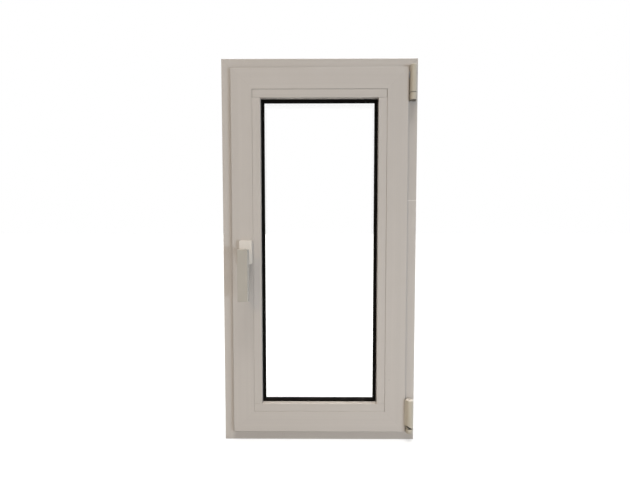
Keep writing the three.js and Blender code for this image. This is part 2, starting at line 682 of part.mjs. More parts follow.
function handleScrew(off) {
  const headY = ROSE_Y[1] - 4 - GAP;
  const head = cylinder(4.4, "y", [headY - 2.2, headY], [HANDLE_X, HANDLE_Z + off], 24);
  const shank = cylinder(CASE_SCREW_R, "y", [headY - 1, -19], [HANDLE_X, HANDLE_Z + off], 24);
  return union(head, shank);
}

/** A square bar on the handle's axis. */
function squareBar(half, y) {
  return box([HANDLE_X - half, HANDLE_X + half], y, [HANDLE_Z - half, HANDLE_Z + half]);
}

/** Plain straight lever, a little wider at the back, on a round neck with a square socket. */
function handleLever() {
  const [front, back] = LEVER_Y;
  const outline = [
    [-LEVER_WIDTH / 2, front],
    [LEVER_WIDTH / 2, front],
    [LEVER_BACK_WIDTH / 2, back],
    [-LEVER_BACK_WIDTH / 2, back],
  ];
  const shape = new THREE.Shape(outline.map(([x, y]) => new THREE.Vector2(x, y)));
  const length = LEVER_UP + LEVER_DOWN;
  const geometry = new THREE.ExtrudeGeometry(shape, { depth: length, bevelEnabled: false });
  const blade = solidOf(geometry.translate(HANDLE_X, 0, HANDLE_Z - LEVER_DOWN));
  const neckEnd = ROSE_Y[1] - 4 - GAP;
  const neck = cylinder(NECK_R, "y", [back - 1, neckEnd], [HANDLE_X, HANDLE_Z]);
  const half = SPINDLE / 2 + GAP;
  const socket = squareBar(half, [back + 1, neckEnd + 1]);
  return cut(union(blade, neck), socket);
}

function handleSpindle() {
  return squareBar(SPINDLE / 2, [LEVER_Y[1] + 1 + GAP, SPINDLE_END_Y]);
}

/** Involute pinion on the spindle, its teeth thinned a little for backlash. */
function drivePinion() {
  const module = (2 * PITCH_R) / TEETH;
  const pressure = THREE.MathUtils.degToRad(20);
  const base = PITCH_R * Math.cos(pressure);
  const outer = PITCH_R + 0.9 * module;
  const root = PITCH_R - 1.2 * module;
  const involute = (r) => (r <= base ? 0 : Math.tan(Math.acos(base / r)) - Math.acos(base / r));
  const halfTooth = Math.PI / (2 * TEETH) - BACKLASH / PITCH_R + involute(PITCH_R);
  const flank = [root, base, (base + PITCH_R) / 2, PITCH_R, (PITCH_R + outer) / 2, outer];
  const points = [];
  for (let tooth = 0; tooth < TEETH; tooth += 1) {
    // A tooth points at the rack, which lies towards -x.
    const middle = Math.PI + (tooth * 2 * Math.PI) / TEETH;
    const half = flank.map((r) => [r, halfTooth - involute(r)]);
    const rising = half.map(([r, a]) => [r, middle - a]);
    const falling = [...half].reverse().map(([r, a]) => [r, middle + a]);
    const outline = [...rising, ...falling];
    outline.forEach(([r, a]) => points.push(new THREE.Vector2(r * Math.cos(a), r * Math.sin(a))));
  }
  const [y0, y1] = PINION_Y;
  const gear = new THREE.ExtrudeGeometry(new THREE.Shape(points), { depth: y1 - y0, bevelEnabled: false });
  const teeth = solidOf(gear.rotateX(Math.PI / 2).translate(HANDLE_X, y1, HANDLE_Z));
  const hub = cylinder(JOURNAL_R, "y", [y0 - 3, y1 + 2.5], [HANDLE_X, HANDLE_Z], 32);
  const half = SPINDLE / 2 + GAP;
  const socket = squareBar(half, [y0 - 5, y1 + 4]);
  return cut(union(teeth, hub), socket);
}

/** One half of the gear case, split across the middle of the pinion. */
function gearboxCase(front) {
  const split = (PINION_Y[0] + PINION_Y[1]) / 2;
  const y = front ? [CHAMBER_Y[0] + 0.5, split - GAP / 2] : [split + GAP / 2, CHAMBER_Y[1] - 0.5];
  const shell = sideBox("left", [CHAMBER_U[0] + GAP, CHAMBER_U[1] - GAP], y, GEARBOX_Z);
  const centre = [HANDLE_X, HANDLE_Z];
  const cavityY = [PINION_Y[0] - 0.6, PINION_Y[1] + 0.6];
  const cavity = cylinder(GEAR_CAVITY_R, "y", cavityY, centre);
  const mouthZ = [HANDLE_Z - GEAR_CAVITY_R, HANDLE_Z + GEAR_CAVITY_R];
  const mouth = sideBox("left", [CHANNEL_U[1] - 1, HANDLE_U], cavityY, mouthZ);
  const journal = cylinder(JOURNAL_R + GAP, "y", [PINION_Y[0] - 3.4, PINION_Y[1] + 2.9], centre, 32);
  const spindleHole = cylinder(5.6, "y", [CHAMBER_Y[0] - 1, PINION_Y[0]], centre, 32);
  const screwHoles = [-SCREW_OFF, SCREW_OFF].map((off) =>
    cylinder(CASE_SCREW_R + GAP, "y", [CHAMBER_Y[0] - 1, -18], [HANDLE_X, HANDLE_Z + off], 24));
  return cut(shell, cavity, mouth, journal, spindleHole, ...screwHoles);
}

// ---- drive rods ----
/** A flat rod in a side's groove. */
function rod(side, s) {
  return sideBox(side, ROD_U, ROD_Y, s);
}

/** A mushroom cam standing out of the groove, riveted to its rod. */
function cam(side, s) {
  const head = sidePin(side, CAM_R, CAM_U, CAM_Y, s);
  const stem = sidePin(side, CAM_STEM_R, [CAM_U[1] - 0.5, ROD_U[0] + 1], CAM_Y, s, 24);
  return union(head, stem);
}

/** The rack that the pinion drives: trapezoid teeth on the side rod. */
function rack() {
  const module = (2 * PITCH_R) / TEETH;
  const pitch = Math.PI * module;
  const line = HANDLE_U - PITCH_R;
  const [tip, root] = [line + 0.9 * module, line - 1.15 * module];
  const slope = Math.tan(THREE.MathUtils.degToRad(20));
  const halfAt = (u) => pitch / 4 - BACKLASH - (u - line) * slope;
  const first = -4;
  const last = 10;
  const points = [[ROD_U[0], HANDLE_Z + (first - 0.5) * pitch]];
  // A gap faces the pinion's tooth at the handle's height, so teeth stand half a pitch off it.
  for (let i = first; i <= last; i += 1) {
    const middle = HANDLE_Z + (i + 0.5) * pitch;
    points.push([root, middle - halfAt(root)], [tip, middle - halfAt(tip)]);
    points.push([tip, middle + halfAt(tip)], [root, middle + halfAt(root)]);
  }
  points[0][1] = points[1][1];
  points.push([ROD_U[0], points.at(-1)[1]]);
  const shape = new THREE.Shape(points.map(([u, s]) => new THREE.Vector2(u - WIDTH / 2, s)));
  const geometry = new THREE.ExtrudeGeometry(shape, { depth: 12, bevelEnabled: false });
  return solidOf(geometry.rotateX(Math.PI / 2).translate(0, CAM_Y + 6, 0));
}

function sideDriveRod() {
  return union(rod("left", SIDE_ROD_Z), rack(), ...SIDE_CAM_Z.map((z) => cam("left", z)));
}

function topDriveRod() {
  const along = TOP_ROD_X.map((x) => x + WIDTH / 2);
  return union(rod("top", along), cam("top", TOP_CAM_X + WIDTH / 2));
}

function bottomDriveRod() {
  const along = BOTTOM_ROD_X.map((x) => x + WIDTH / 2);
  return union(rod("bottom", along), cam("bottom", BOTTOM_CAM_X + WIDTH / 2));
}

function cornerDrive(vertical) {
  const u = [CHANNEL_U[0] + GAP, CHANNEL_U[1] - GAP];
  return cornerBlock(vertical, "left", u, CORNER_LEG_U, [CHANNEL_Y[0] + GAP, CHANNEL_Y[1] - GAP]);
}

// ---- the window ----
const windowGroup = new THREE.Group();

function addTo(group, name, solid, material) {
  const mesh = new THREE.Mesh(geometryOf(solid), material);
  mesh.name = name;
  group.add(mesh);
}

function bodyGroup() {
  const group = new THREE.Group();
  windowGroup.add(group);
  return group;
}

const CORNERS = [["top", "left"], ["top", "right"], ["bottom", "left"], ["bottom", "right"]];

const frame = bodyGroup();
addTo(frame, "frame_sill", frameSill(), WHITE);
addTo(frame, "frame_head", mitredBar(FRAME_SECTION, "top"), WHITE);
addTo(frame, "frame_left_jamb", mitredBar(FRAME_SECTION, "left"), WHITE);
addTo(frame, "frame_right_jamb", mitredBar(FRAME_SECTION, "right"), WHITE);
CORNERS.forEach(([v, h]) => addTo(frame, `frame_corner_cleat_${v}_${h}`, frameCleat(v, h), ALUMINIUM));
addTo(frame, "frame_centre_seal", frameCentreSeal(), RUBBER);
addTo(frame, "drain_cap_left", drainCap(DRAIN_X[0]), WHITE);
addTo(frame, "drain_cap_right", drainCap(DRAIN_X[1]), WHITE);
addTo(frame, "keep_side_lower", keep("left", SIDE_CAM_Z[0]), ZINC);
addTo(frame, "keep_side_upper", keep("left", SIDE_CAM_Z[1]), ZINC);
addTo(frame, "keep_top", keep("top", TOP_CAM_X + WIDTH / 2), ZINC);
addTo(frame, "keep_bottom", keep("bottom", BOTTOM_CAM_X + WIDTH / 2), ZINC);
addTo(frame, "top_hinge_bearing", topHingeBearing(), WHITE);
addTo(frame, "top_hinge_pin", topHingePin(), STEEL);
addTo(frame, "bottom_hinge_bearing", bottomHingeBearing(), WHITE);

addTo(bodyGroup(), "bottom_hinge_swivel", bottomHingeSwivel(), STEEL);

const sash = bodyGroup();
addTo(sash, "sash_bottom_rail", mitredBar(SASH_SECTION, "bottom"), WHITE);
addTo(sash, "sash_top_rail", mitredBar(SASH_SECTION, "top"), WHITE);
addTo(sash, "sash_left_stile", sashLeftStile(), WHITE);
addTo(sash, "sash_right_stile", sashRightStile(), WHITE);
CORNERS.forEach(([v, h]) => addTo(sash, `sash_corner_cleat_${v}_${h}`, sashCleat(v, h), ALUMINIUM));
Object.keys(SIDES).forEach((side) => addTo(sash, `bead_${side}`, bead(side), WHITE));
addTo(sash, "flap_seal", flapSeal(), RUBBER);
addTo(sash, "flap_seal_hinge_side", hingeSideSeal(), RUBBER);
addTo(sash, "inner_glazing_gasket", innerGasket(), RUBBER);
addTo(sash, "outer_glazing_gasket", outerGasket(), RUBBER);
addTo(sash, "inner_pane", pane(INNER_PANE_Y), GLASS);
addTo(sash, "outer_pane", pane(INNER_PANE_Y + PANE + CAVITY), GLASS);
addTo(sash, "spacer_bar", spacerBar(), SPACER);
addTo(sash, "setting_block_left", settingBlock(-95), PLASTIC);
addTo(sash, "setting_block_right", settingBlock(95), PLASTIC);
addTo(sash, "bottom_hinge_pin", bottomHingePin(), STEEL);
addTo(sash, "bottom_hinge_leaf", bottomHingeLeaf(), STEEL);
addTo(sash, "bottom_hinge_cover", bottomHingeCover(), WHITE);
addTo(sash, "stay_guide", stayGuide(), ZINC);
addTo(sash, "corner_drive_top", cornerDrive("top"), ZINC);
addTo(sash, "corner_drive_bottom", cornerDrive("bottom"), ZINC);
addTo(sash, "gearbox_case_front", gearboxCase(true), ZINC);
addTo(sash, "gearbox_case_back", gearboxCase(false), ZINC);
addTo(sash, "handle_base_plate", handleBasePlate(), ZINC);
addTo(sash, "handle_cover", handleCover(), WHITE);
addTo(sash, "handle_screw_upper", handleScrew(SCREW_OFF), STEEL);
addTo(sash, "handle_screw_lower", handleScrew(-SCREW_OFF), STEEL);

const handle = bodyGroup();
addTo(handle, "handle_lever", handleLever(), WHITE);
addTo(handle, "handle_spindle", handleSpindle(), STEEL);
addTo(handle, "drive_pinion", drivePinion(), STEEL);

addTo(bodyGroup(), "side_drive_rod", sideDriveRod(), STEEL);
addTo(bodyGroup(), "top_drive_rod", topDriveRod(), STEEL);
addTo(bodyGroup(), "bottom_drive_rod", bottomDriveRod(), STEEL);

const stay = bodyGroup();
addTo(stay, "stay_arm", stayArm(), STEEL);
addTo(stay, "top_hinge_cover", topHingeCover(), WHITE);

export default windowGroup;
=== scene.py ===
"""Looks for a tilt-and-turn casement window.

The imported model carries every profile, pane, hinge and rod at its real size. This script gives each of them
its finish, rounds their edges, adds the small pieces that are only seen close up, and sets the stage round
them. Lengths are in metres. The room side faces -Y, and u is a distance inward from the frame's outer edge.
"""

import logging  # noqa: E402
import math  # noqa: E402
from collections.abc import Iterable  # noqa: E402
from dataclasses import dataclass, field  # noqa: E402
from enum import Enum  # noqa: E402
from functools import cache  # noqa: E402

import bmesh  # noqa: E402
import bpy  # noqa: E402
from mathutils import Matrix, Vector  # noqa: E402


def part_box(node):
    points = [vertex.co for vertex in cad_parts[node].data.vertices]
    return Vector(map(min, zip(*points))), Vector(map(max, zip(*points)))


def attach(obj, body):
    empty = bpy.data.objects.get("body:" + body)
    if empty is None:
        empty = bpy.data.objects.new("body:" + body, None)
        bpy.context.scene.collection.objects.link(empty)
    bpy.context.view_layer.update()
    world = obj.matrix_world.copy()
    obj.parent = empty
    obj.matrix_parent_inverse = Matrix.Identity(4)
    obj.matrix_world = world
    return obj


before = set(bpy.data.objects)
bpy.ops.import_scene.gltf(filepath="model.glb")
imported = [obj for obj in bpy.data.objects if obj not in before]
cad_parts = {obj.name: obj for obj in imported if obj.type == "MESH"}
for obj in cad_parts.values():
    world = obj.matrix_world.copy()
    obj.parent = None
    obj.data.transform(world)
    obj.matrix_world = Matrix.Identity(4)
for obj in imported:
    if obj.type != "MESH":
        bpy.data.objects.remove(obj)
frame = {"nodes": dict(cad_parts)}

log = logging.getLogger("window")

MM = 0.001
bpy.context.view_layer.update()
FRAME_HALF = (252.0 * MM, 500.0 * MM)
SAME_POINT = 0.002 * MM

Color = tuple[int, int, int]
Linear = tuple[float, float, float, float]
Point = tuple[float, float, float]
Strip = tuple[float, float, float, float]
Socket = bpy.types.NodeSocket

BLACK: Linear = (0.0, 0.0, 0.0, 1.0)
WHITE: Linear = (1.0, 1.0, 1.0, 1.0)


# -----------------------------------------------------------------------------------------------------------
# Shader helpers and shared groups
# -----------------------------------------------------------------------------------------------------------
def linear(color: Color) -> Linear:
    """Turn a colour of 0 to 255 as seen on a screen into a linear one.

    Args:
        color: Red, green and blue, 0 to 255.

    Returns:
        Linear red, green, blue and an alpha of 1.
    """
    parts = [c / 255 for c in color]
    parts = [c / 12.92 if c <= 0.04045 else ((c + 0.055) / 1.055) ** 2.4 for c in parts]
    return (parts[0], parts[1], parts[2], 1.0)


class Wiring:
    """Short ways to add the usual nodes to one shader or geometry tree."""

    def __init__(self, tree: bpy.types.NodeTree) -> None:
        """Take the tree that the nodes go into.

        Args:
            tree: A shader, group or geometry node tree.
        """
        self.tree = tree

    def feed(self, value: object, socket: Socket) -> None:
        """Link a socket to an input, or write a plain value on it.

        Args:
            value: A socket, or a value that the input takes.
            socket: The input.
        """
        if isinstance(value, Socket):
            self.tree.links.new(value, socket)
        else:
            socket.default_value = value

    def fill(self, node: bpy.types.Node, inputs: dict[str | int, object]) -> None:
        """Feed several inputs of one node.

        Args:
            node: The node.
            inputs: Sockets or plain values, by the input's name or number.
        """
        for key, value in inputs.items():
            self.feed(value, node.inputs[key])

    def add(
        self, kind: str, inputs: dict[str | int, object] | None = None, **options: object
    ) -> bpy.types.Node:
        """Add a node, set its options and feed its inputs.

        Args:
            kind: The node's type.
            inputs: Sockets or plain values, by the input's name or number.
            options: The node's settings, by name.

        Returns:
            The node.
        """
        node = self.tree.nodes.new(kind)
        for option, value in options.items():
            setattr(node, option, value)
        self.fill(node, inputs or {})
        return node

    def math(self, operation: str, *values: object) -> Socket:
        """Add a Math node.

        Args:
            operation: The node's operation.
            values: Sockets or numbers for its inputs.

        Returns:
            The result.
        """
        return self.add("ShaderNodeMath", dict(enumerate(values)), operation=operation).outputs[0]

    def times(self, first: object, *others: object) -> Socket:
        """Multiply sockets and numbers.

        Args:
            first: The first of them.
            others: The rest, at least one.

        Returns:
            The product.
        """
        for other in others:
            first = self.math("MULTIPLY", first, other)
        return first

    def ramp(self, value: object, start: float, end: float, low: float = 0.0, high: float = 1.0) -> Socket:
        """Map a value from one range to another, held at both ends.

        Args:
            value: The socket to map.
            start: Where the input range starts.
            end: Where it ends.
            low: The result at the start.
            high: The result at the end.

        Returns:
            The mapped value.
        """
        limits = {"From Min": start, "From Max": end, "To Min": low, "To Max": high}
        return self.add("ShaderNodeMapRange", {"Value": value, **limits}).outputs[0]

    def mix(self, factor: object, low: object, high: object) -> Socket:
        """Mix two colours.

        Args:
            factor: A socket or a number.
            low: The colour at 0, a socket or a linear colour.
            high: The colour at 1.

        Returns:
            The mixed colour.
        """
        # The node also has number and vector sockets: its colours are inputs 6 and 7 and output 2.
        return self.add("ShaderNodeMix", {"Factor": factor, 6: low, 7: high}, data_type="RGBA").outputs[2]

    def split(self, vector: Socket) -> dict[str, Socket]:
        """Split a vector into its parts.

        Args:
            vector: The vector.

        Returns:
            Its X, Y and Z, by name.
        """
        outputs = self.add("ShaderNodeSeparateXYZ", {0: vector}).outputs
        return {axis: outputs[axis] for axis in "XYZ"}

    def noise(self, vector: Socket, size: object, detail: float) -> Socket:
        """Add noise whose grains have a size in metres.

        Args:
            vector: Coordinates.
            size: A socket or a length.
            detail: How many finer layers it has.

        Returns:
            The noise, about 0.5 on average.
        """
        inputs = {"Vector": vector, "Scale": self.math("DIVIDE", 1.0, size), "Detail": detail}
        return self.add("ShaderNodeTexNoise", inputs).outputs["Fac"]

    def near(self, value: Socket, middle: float, reach: float) -> Socket:
        """A mask of 1 where a value is within reach of a middle."""
        return self.math("COMPARE", value, middle, reach)


class Groups:
    """Shader groups that several finishes use, each built once."""

    # How far up a face looks where dust starts and where it is full, and the noise that leaves it in patches.
    DUST_SLOPE = (0.55, 0.95)
    DUST_PATCHES = (0.35, 0.7)
    # Only cells above this have a speck.
    SPECK_FREE = 0.55
    # Scratches: their lay in radians, their stretch along it, their spacing and half width, and the patches.
    SCRATCH_TURN = (0.5, 0.9, 0.3)
    SCRATCH_STRETCH = (1.0, 1.0, 0.02)
    SCRATCH_SPACING = 0.009
    SCRATCH_HALF = 0.0022
    SCRATCH_PATCH_SIZE = 0.045
    SCRATCH_PATCHES = (0.6, 0.68)
    # Fine streaks, as shares of the broad ones' size and of the whole.
    FINE_STREAK_SIZE = 0.12
    FINE_STREAK_SHARE = 0.35

    @staticmethod
    def _start(
        name: str, inputs: dict[str, float], outputs: list[str]
    ) -> tuple[Wiring, bpy.types.NodeOutputs, bpy.types.NodeInputs]:
        """Start a group with a Vector input, float inputs and float outputs.

        Args:
            name: The group's name.
            inputs: Float inputs and their default values.
            outputs: Names of the float outputs.

        Returns:
            Its wiring, what comes in and where the results go.
        """
        tree = bpy.data.node_groups.new(name, "ShaderNodeTree")
        tree.interface.new_socket(name="Vector", in_out="INPUT", socket_type="NodeSocketVector")
        for label, value in inputs.items():
            made = tree.interface.new_socket(name=label, in_out="INPUT", socket_type="NodeSocketFloat")
            made.default_value = value
        for label in outputs:
            tree.interface.new_socket(name=label, in_out="OUTPUT", socket_type="NodeSocketFloat")
        wiring = Wiring(tree)
        return wiring, wiring.add("NodeGroupInput").outputs, wiring.add("NodeGroupOutput").inputs

    @classmethod
    @cache
    def grain(cls) -> bpy.types.NodeTree:
        """Fine surface grain for bump, and a slow mottle for colour and roughness.

        Returns:
            The group.
        """
        sizes = {"Grain Size": 1.2 * MM, "Mottle Size": 0.08}
        wiring, given, out = cls._start("surface_grain", sizes, ["Height", "Mottle"])
        wiring.feed(wiring.noise(given["Vector"], given["Grain Size"], 2.0), out["Height"])
        wiring.feed(wiring.noise(given["Vector"], given["Mottle Size"], 3.0), out["Mottle"])
        return wiring.tree

    @classmethod
    @cache
    def dust(cls) -> bpy.types.NodeTree:
        """Dust that settles in patches on what faces up.

        Returns:
            The group.
        """
        wiring, given, out = cls._start("settled_dust", {"Amount": 0.5, "Patch Size": 0.02}, ["Mask"])
        normal = wiring.add("ShaderNodeNewGeometry").outputs["Normal"]
        upward = wiring.ramp(wiring.split(normal)["Z"], *cls.DUST_SLOPE)
        patches = wiring.ramp(wiring.noise(given["Vector"], given["Patch Size"], 4.0), *cls.DUST_PATCHES)
        wiring.feed(wiring.times(upward, patches, given["Amount"]), out["Mask"])
        return wiring.tree

    @classmethod
    @cache
    def marks(cls) -> bpy.types.NodeTree:
        """Sparse specks, and hairline scratches cut from thin bands of a stretched noise.

        Returns:
            The group.
        """
        sizes = {"Spacing": 0.045, "Speck Size": 0.45 * MM}
        wiring, given, out = cls._start("handling_marks", sizes, ["Specks", "Scratches"])
        scale = wiring.math("DIVIDE", 1.0, given["Spacing"])
        cells = wiring.add("ShaderNodeTexVoronoi", {"Vector": given["Vector"], "Scale": scale}).outputs
        reach = wiring.math("DIVIDE", given["Speck Size"], given["Spacing"])
        small = wiring.math("LESS_THAN", cells["Distance"], reach)
        chosen = wiring.math("GREATER_THAN", cells["Color"], cls.SPECK_FREE)
        wiring.feed(wiring.times(small, chosen), out["Specks"])
        lay = {"Vector": given["Vector"], "Rotation": cls.SCRATCH_TURN, "Scale": cls.SCRATCH_STRETCH}
        turned = wiring.add("ShaderNodeMapping", lay).outputs[0]
        band = wiring.near(wiring.noise(turned, cls.SCRATCH_SPACING, 0.0), 0.5, cls.SCRATCH_HALF)
        patches = wiring.noise(given["Vector"], cls.SCRATCH_PATCH_SIZE, 1.0)
        wiring.feed(wiring.times(band, wiring.ramp(patches, *cls.SCRATCH_PATCHES)), out["Scratches"])
        return wiring.tree

    @classmethod
    @cache
    def streaks(cls) -> bpy.types.NodeTree:
        """Faint lines that a die or a roller leaves along a bar; the coordinates come stretched along it.

        Returns:
            The group.
        """
        wiring, given, out = cls._start("drawn_streaks", {"Streak Size": 0.012}, ["Streak"])
        broad = wiring.noise(given["Vector"], given["Streak Size"], 1.0)
        fine = wiring.noise(given["Vector"], wiring.times(given["Streak Size"], cls.FINE_STREAK_SIZE), 1.0)
        rest = wiring.times(broad, 1.0 - cls.FINE_STREAK_SHARE)
        wiring.feed(wiring.math("MULTIPLY_ADD", fine, cls.FINE_STREAK_SHARE, rest), out["Streak"])
        return wiring.tree


def start_material(name: str) -> tuple[bpy.types.Material, Wiring, bpy.types.Node]:
    """Start a material.

    Args:
        name: Its name.

    Returns:
        The material, its wiring and its shader.
    """
    material = bpy.data.materials.new(name)
    material.use_nodes = True
    return material, Wiring(material.node_tree), material.node_tree.nodes["Principled BSDF"]


# -----------------------------------------------------------------------------------------------------------
# Finishes
# -----------------------------------------------------------------------------------------------------------
class Run(Enum):
    """Which way a bar was drawn, as the scale of its coordinates: small along the bar."""

    NONE = (1.0, 1.0, 1.0)
    UPRIGHT = (1.0, 1.0, 0.006)
    LEVEL = (0.006, 1.0, 1.0)


@dataclass(frozen=True)
class Finish:
    """A surface finish with fine grain, slow mottling, marks of use and settled dust."""

    name: str
    color: Color
    shade: Color
    roughness: float = 0.5
    roughness_swing: float = 0.08
    metallic: float = 0.0
    specular: float = 0.5
    grain_size: float = 1.2 * MM
    grain_depth: float = 0.02 * MM
    mottle_size: float = 0.08
    run: Run = Run.NONE
    streak: float = 0.0
    streak_range: tuple[float, float] = (0.4, 0.6)
    dust_amount: float = 0.3
    dust_color: Color = (150, 142, 130)
    speck_color: Color = (96, 84, 70)
    scratch_amount: float = 0.25

    @cache
    def material(self) -> bpy.types.Material:
        """Build the material, once for each finish.

        Returns:
            The finish as a Blender material.
        """
        material, wiring, shader = start_material(self.name)
        place = wiring.add("ShaderNodeTexCoord").outputs["Object"]
        sizes = {"Vector": place, "Grain Size": self.grain_size, "Mottle Size": self.mottle_size}
        grain = wiring.add("ShaderNodeGroup", sizes, node_tree=Groups.grain()).outputs
        ground = wiring.mix(grain["Mottle"], linear(self.shade), linear(self.color))
        if self.streak:
            ground = self._streaked(wiring, place, ground)
        ground = self.pattern(wiring, place, ground)
        marks = wiring.add("ShaderNodeGroup", {"Vector": place}, node_tree=Groups.marks()).outputs
        ground = wiring.mix(marks["Specks"], ground, linear(self.speck_color))
        worn = wiring.times(marks["Scratches"], self.scratch_amount)
        ground = wiring.mix(worn, ground, linear(self.dust_color))
        settled = {"Vector": place, "Amount": self.dust_amount}
        dust = wiring.add("ShaderNodeGroup", settled, node_tree=Groups.dust()).outputs["Mask"]
        low, high = self.roughness - self.roughness_swing, self.roughness + self.roughness_swing
        relief = {"Distance": self.grain_depth, "Height": grain["Height"]}
        inputs = {
            "Metallic": self.metallic,
            "Specular IOR Level": self.specular,
            "Base Color": wiring.mix(dust, ground, linear(self.dust_color)),
            "Roughness": wiring.ramp(grain["Mottle"], 0.0, 1.0, low, high),
            "Normal": wiring.add("ShaderNodeBump", relief).outputs[0],
        }
        wiring.fill(shader, inputs)
        return material

    def pattern(self, wiring: Wiring, place: Socket, ground: Socket) -> Socket:
        """Add this finish's own pattern to the ground colour; a plain finish adds none.

        Args:
            wiring: The material's wiring.
            place: Object coordinates.
            ground: The colour so far.

        Returns:
            The colour with the pattern.
        """
        return ground

    def _streaked(self, wiring: Wiring, place: Socket, ground: Socket) -> Socket:
        """Darken the ground a little in streaks along the bar.

        Args:
            wiring: The material's wiring.
            place: Object coordinates.
            ground: The colour so far.

        Returns:
            The colour with the streaks.
        """
        stretched = wiring.add("ShaderNodeMapping", {"Vector": place, "Scale": self.run.value}).outputs[0]
        lines = wiring.add("ShaderNodeGroup", {"Vector": stretched}, node_tree=Groups.streaks()).outputs[0]
        return wiring.mix(wiring.ramp(lines, *self.streak_range, 0.0, self.streak), ground, BLACK)


@dataclass(frozen=True)
class BreakProfileFinish(Finish):
    """Powder coat on an aluminium bar whose middle depth is a black insulating plastic."""

    break_depth: tuple[float, float] = (-7.9 * MM, 13.9 * MM)
    break_color: Color = (24, 23, 22)
    stain_at: Point = (184.6 * MM, -38.0 * MM, 165.0 * MM)
    stain_radius: float = 1.3 * MM
    stain_core: float = 0.3
    stain_share: float = 0.75
    # The bright line across the bar is a painted highlight, and the slight darkening of the coat above it is
    # painted shade.
    highlight_line_height: float = 0.0
    painted_shade_above: float = 0.05
    highlight_line_half: float = 0.9 * MM
    highlight_line_share: float = 0.5
    highlight_line_color: Color = (226, 222, 216)

    def pattern(self, wiring: Wiring, place: Socket, ground: Socket) -> Socket:
        """Add a small stain, a thin painted highlight line across the bar with painted shade darkening the
        coat a little above it, and the black strip between the two shells.

        Args:
            wiring: The material's wiring.
            place: Object coordinates.
            ground: The powder coat's colour.

        Returns:
            The colour with the stain, the painted highlight and shade, and the strip.
        """
        away = wiring.add("ShaderNodeVectorMath", {0: place, 1: self.stain_at}, operation="DISTANCE")
        core = self.stain_core * self.stain_radius
        stain = wiring.ramp(away.outputs["Value"], core, self.stain_radius, self.stain_share, 0.0)
        ground = wiring.mix(stain, ground, linear(self.speck_color))
        axes = wiring.split(place)
        # Painted light: the coat above the line is darkened as painted shade, and the line itself is a painted
        # highlight.
        if self.highlight_line_height:
            above = wiring.math("GREATER_THAN", axes["Z"], self.highlight_line_height)
            ground = wiring.mix(wiring.times(above, self.painted_shade_above), ground, BLACK)
            edge = wiring.near(axes["Z"], self.highlight_line_height, self.highlight_line_half)
            edge = wiring.times(edge, self.highlight_line_share)
            ground = wiring.mix(edge, ground, linear(self.highlight_line_color))
        low, high = self.break_depth
        inside = wiring.near(axes["Y"], (low + high) / 2, (high - low) / 2)
        return wiring.mix(inside, ground, linear(self.break_color))


@dataclass(frozen=True)
class Band:
    """A narrow band of painted shade across a piece: where it lies along one axis, half its width, and how
    dark it is.
    """

    axis: str
    middle: float
    half: float
    share: float


@dataclass(frozen=True)
class BandedFinish(Finish):
    """A finish darkened in narrow bands of painted shade, in joints and on undersides where shade falls."""

    bands: tuple[Band, ...] = ()
    shade_color: Color = (38, 33, 28)

    def pattern(self, wiring: Wiring, place: Socket, ground: Socket) -> Socket:
        """Darken the bands with painted shade.

        Args:
            wiring: The material's wiring.
            place: Object coordinates.
            ground: The finish's colour.

        Returns:
            The colour with the bands.
        """
        axes = wiring.split(place)
        dark = 0.0
        for band in self.bands:
            mask = wiring.times(wiring.near(axes[band.axis], band.middle, band.half), band.share)
            dark = wiring.math("MAXIMUM", dark, mask)
        return wiring.mix(dark, ground, linear(self.shade_color))


@dataclass(frozen=True)
class BarrelFinish(Finish):
    """Painted hinge cover with painted shade darkening a slanted groove across its front, and a painted
    highlight lightening its cap.
    """

    axis: tuple[float, float] = (238.5 * MM, -41.0 * MM)
    groove_middle: float = 38.9 * MM
    groove_slope: float = 0.577
    groove_half: float = 2.4 * MM
    groove_reach: float = 6.1 * MM
    groove_front: float = 3.0 * MM
    groove_shade_color: Color = (20, 17, 14)
    cap_height: float = 112.4 * MM
    cap_highlight_color: Color = (208, 200, 190)

    def pattern(self, wiring: Wiring, place: Socket, ground: Socket) -> Socket:
        """Darken the groove with painted shade and lighten the cap with a painted highlight.

        Args:
            wiring: The material's wiring.
            place: Object coordinates.
            ground: The paint's colour.

        Returns:
            The colour with the painted shade in the groove and the painted highlight on the cap.
        """
        axes = wiring.split(place)
        across = wiring.math("SUBTRACT", axes["X"], self.axis[0])
        level = wiring.math("MULTIPLY_ADD", across, self.groove_slope, axes["Z"])
        # Painted shade: the groove and a little either side of it go near black, as shade in the recess would.
        groove = wiring.near(level, self.groove_middle, self.groove_half)
        height = wiring.near(axes["Z"], self.groove_middle, self.groove_reach)
        front = wiring.math("LESS_THAN", axes["Y"], self.axis[1] - self.groove_front)
        ground = wiring.mix(wiring.times(groove, height, front), ground, linear(self.groove_shade_color))
        # Painted highlight: the cover above the cap's height is paler, as its top lit from above would be.
        cap = wiring.math("GREATER_THAN", axes["Z"], self.cap_height)
        return wiring.mix(cap, ground, linear(self.cap_highlight_color))


@dataclass(frozen=True)
class SpacerFinish(Finish):
    """Black spacer bar with two rows of small breather holes."""

    rows: tuple[float, float] = (-0.4 * MM, 4.4 * MM)
    pitch: float = 4.0 * MM
    hole: float = 0.55 * MM
    hole_color: Linear = (0.001, 0.001, 0.001, 1.0)

    def pattern(self, wiring: Wiring, place: Socket, ground: Socket) -> Socket:
        """Darken small holes at an even pitch along both rows.

        Args:
            wiring: The material's wiring.
            place: Object coordinates.
            ground: The bar's colour.

        Returns:
            The colour with the holes.
        """
        axes = wiring.split(place)
        along = wiring.math("ADD", axes["X"], axes["Z"])
        holes = wiring.near(wiring.math("PINGPONG", along, self.pitch / 2), 0.0, self.hole)
        first, second = (wiring.near(axes["Y"], row, self.hole) for row in self.rows)
        return wiring.mix(wiring.times(wiring.math("MAXIMUM", first, second), holes), ground, self.hole_color)


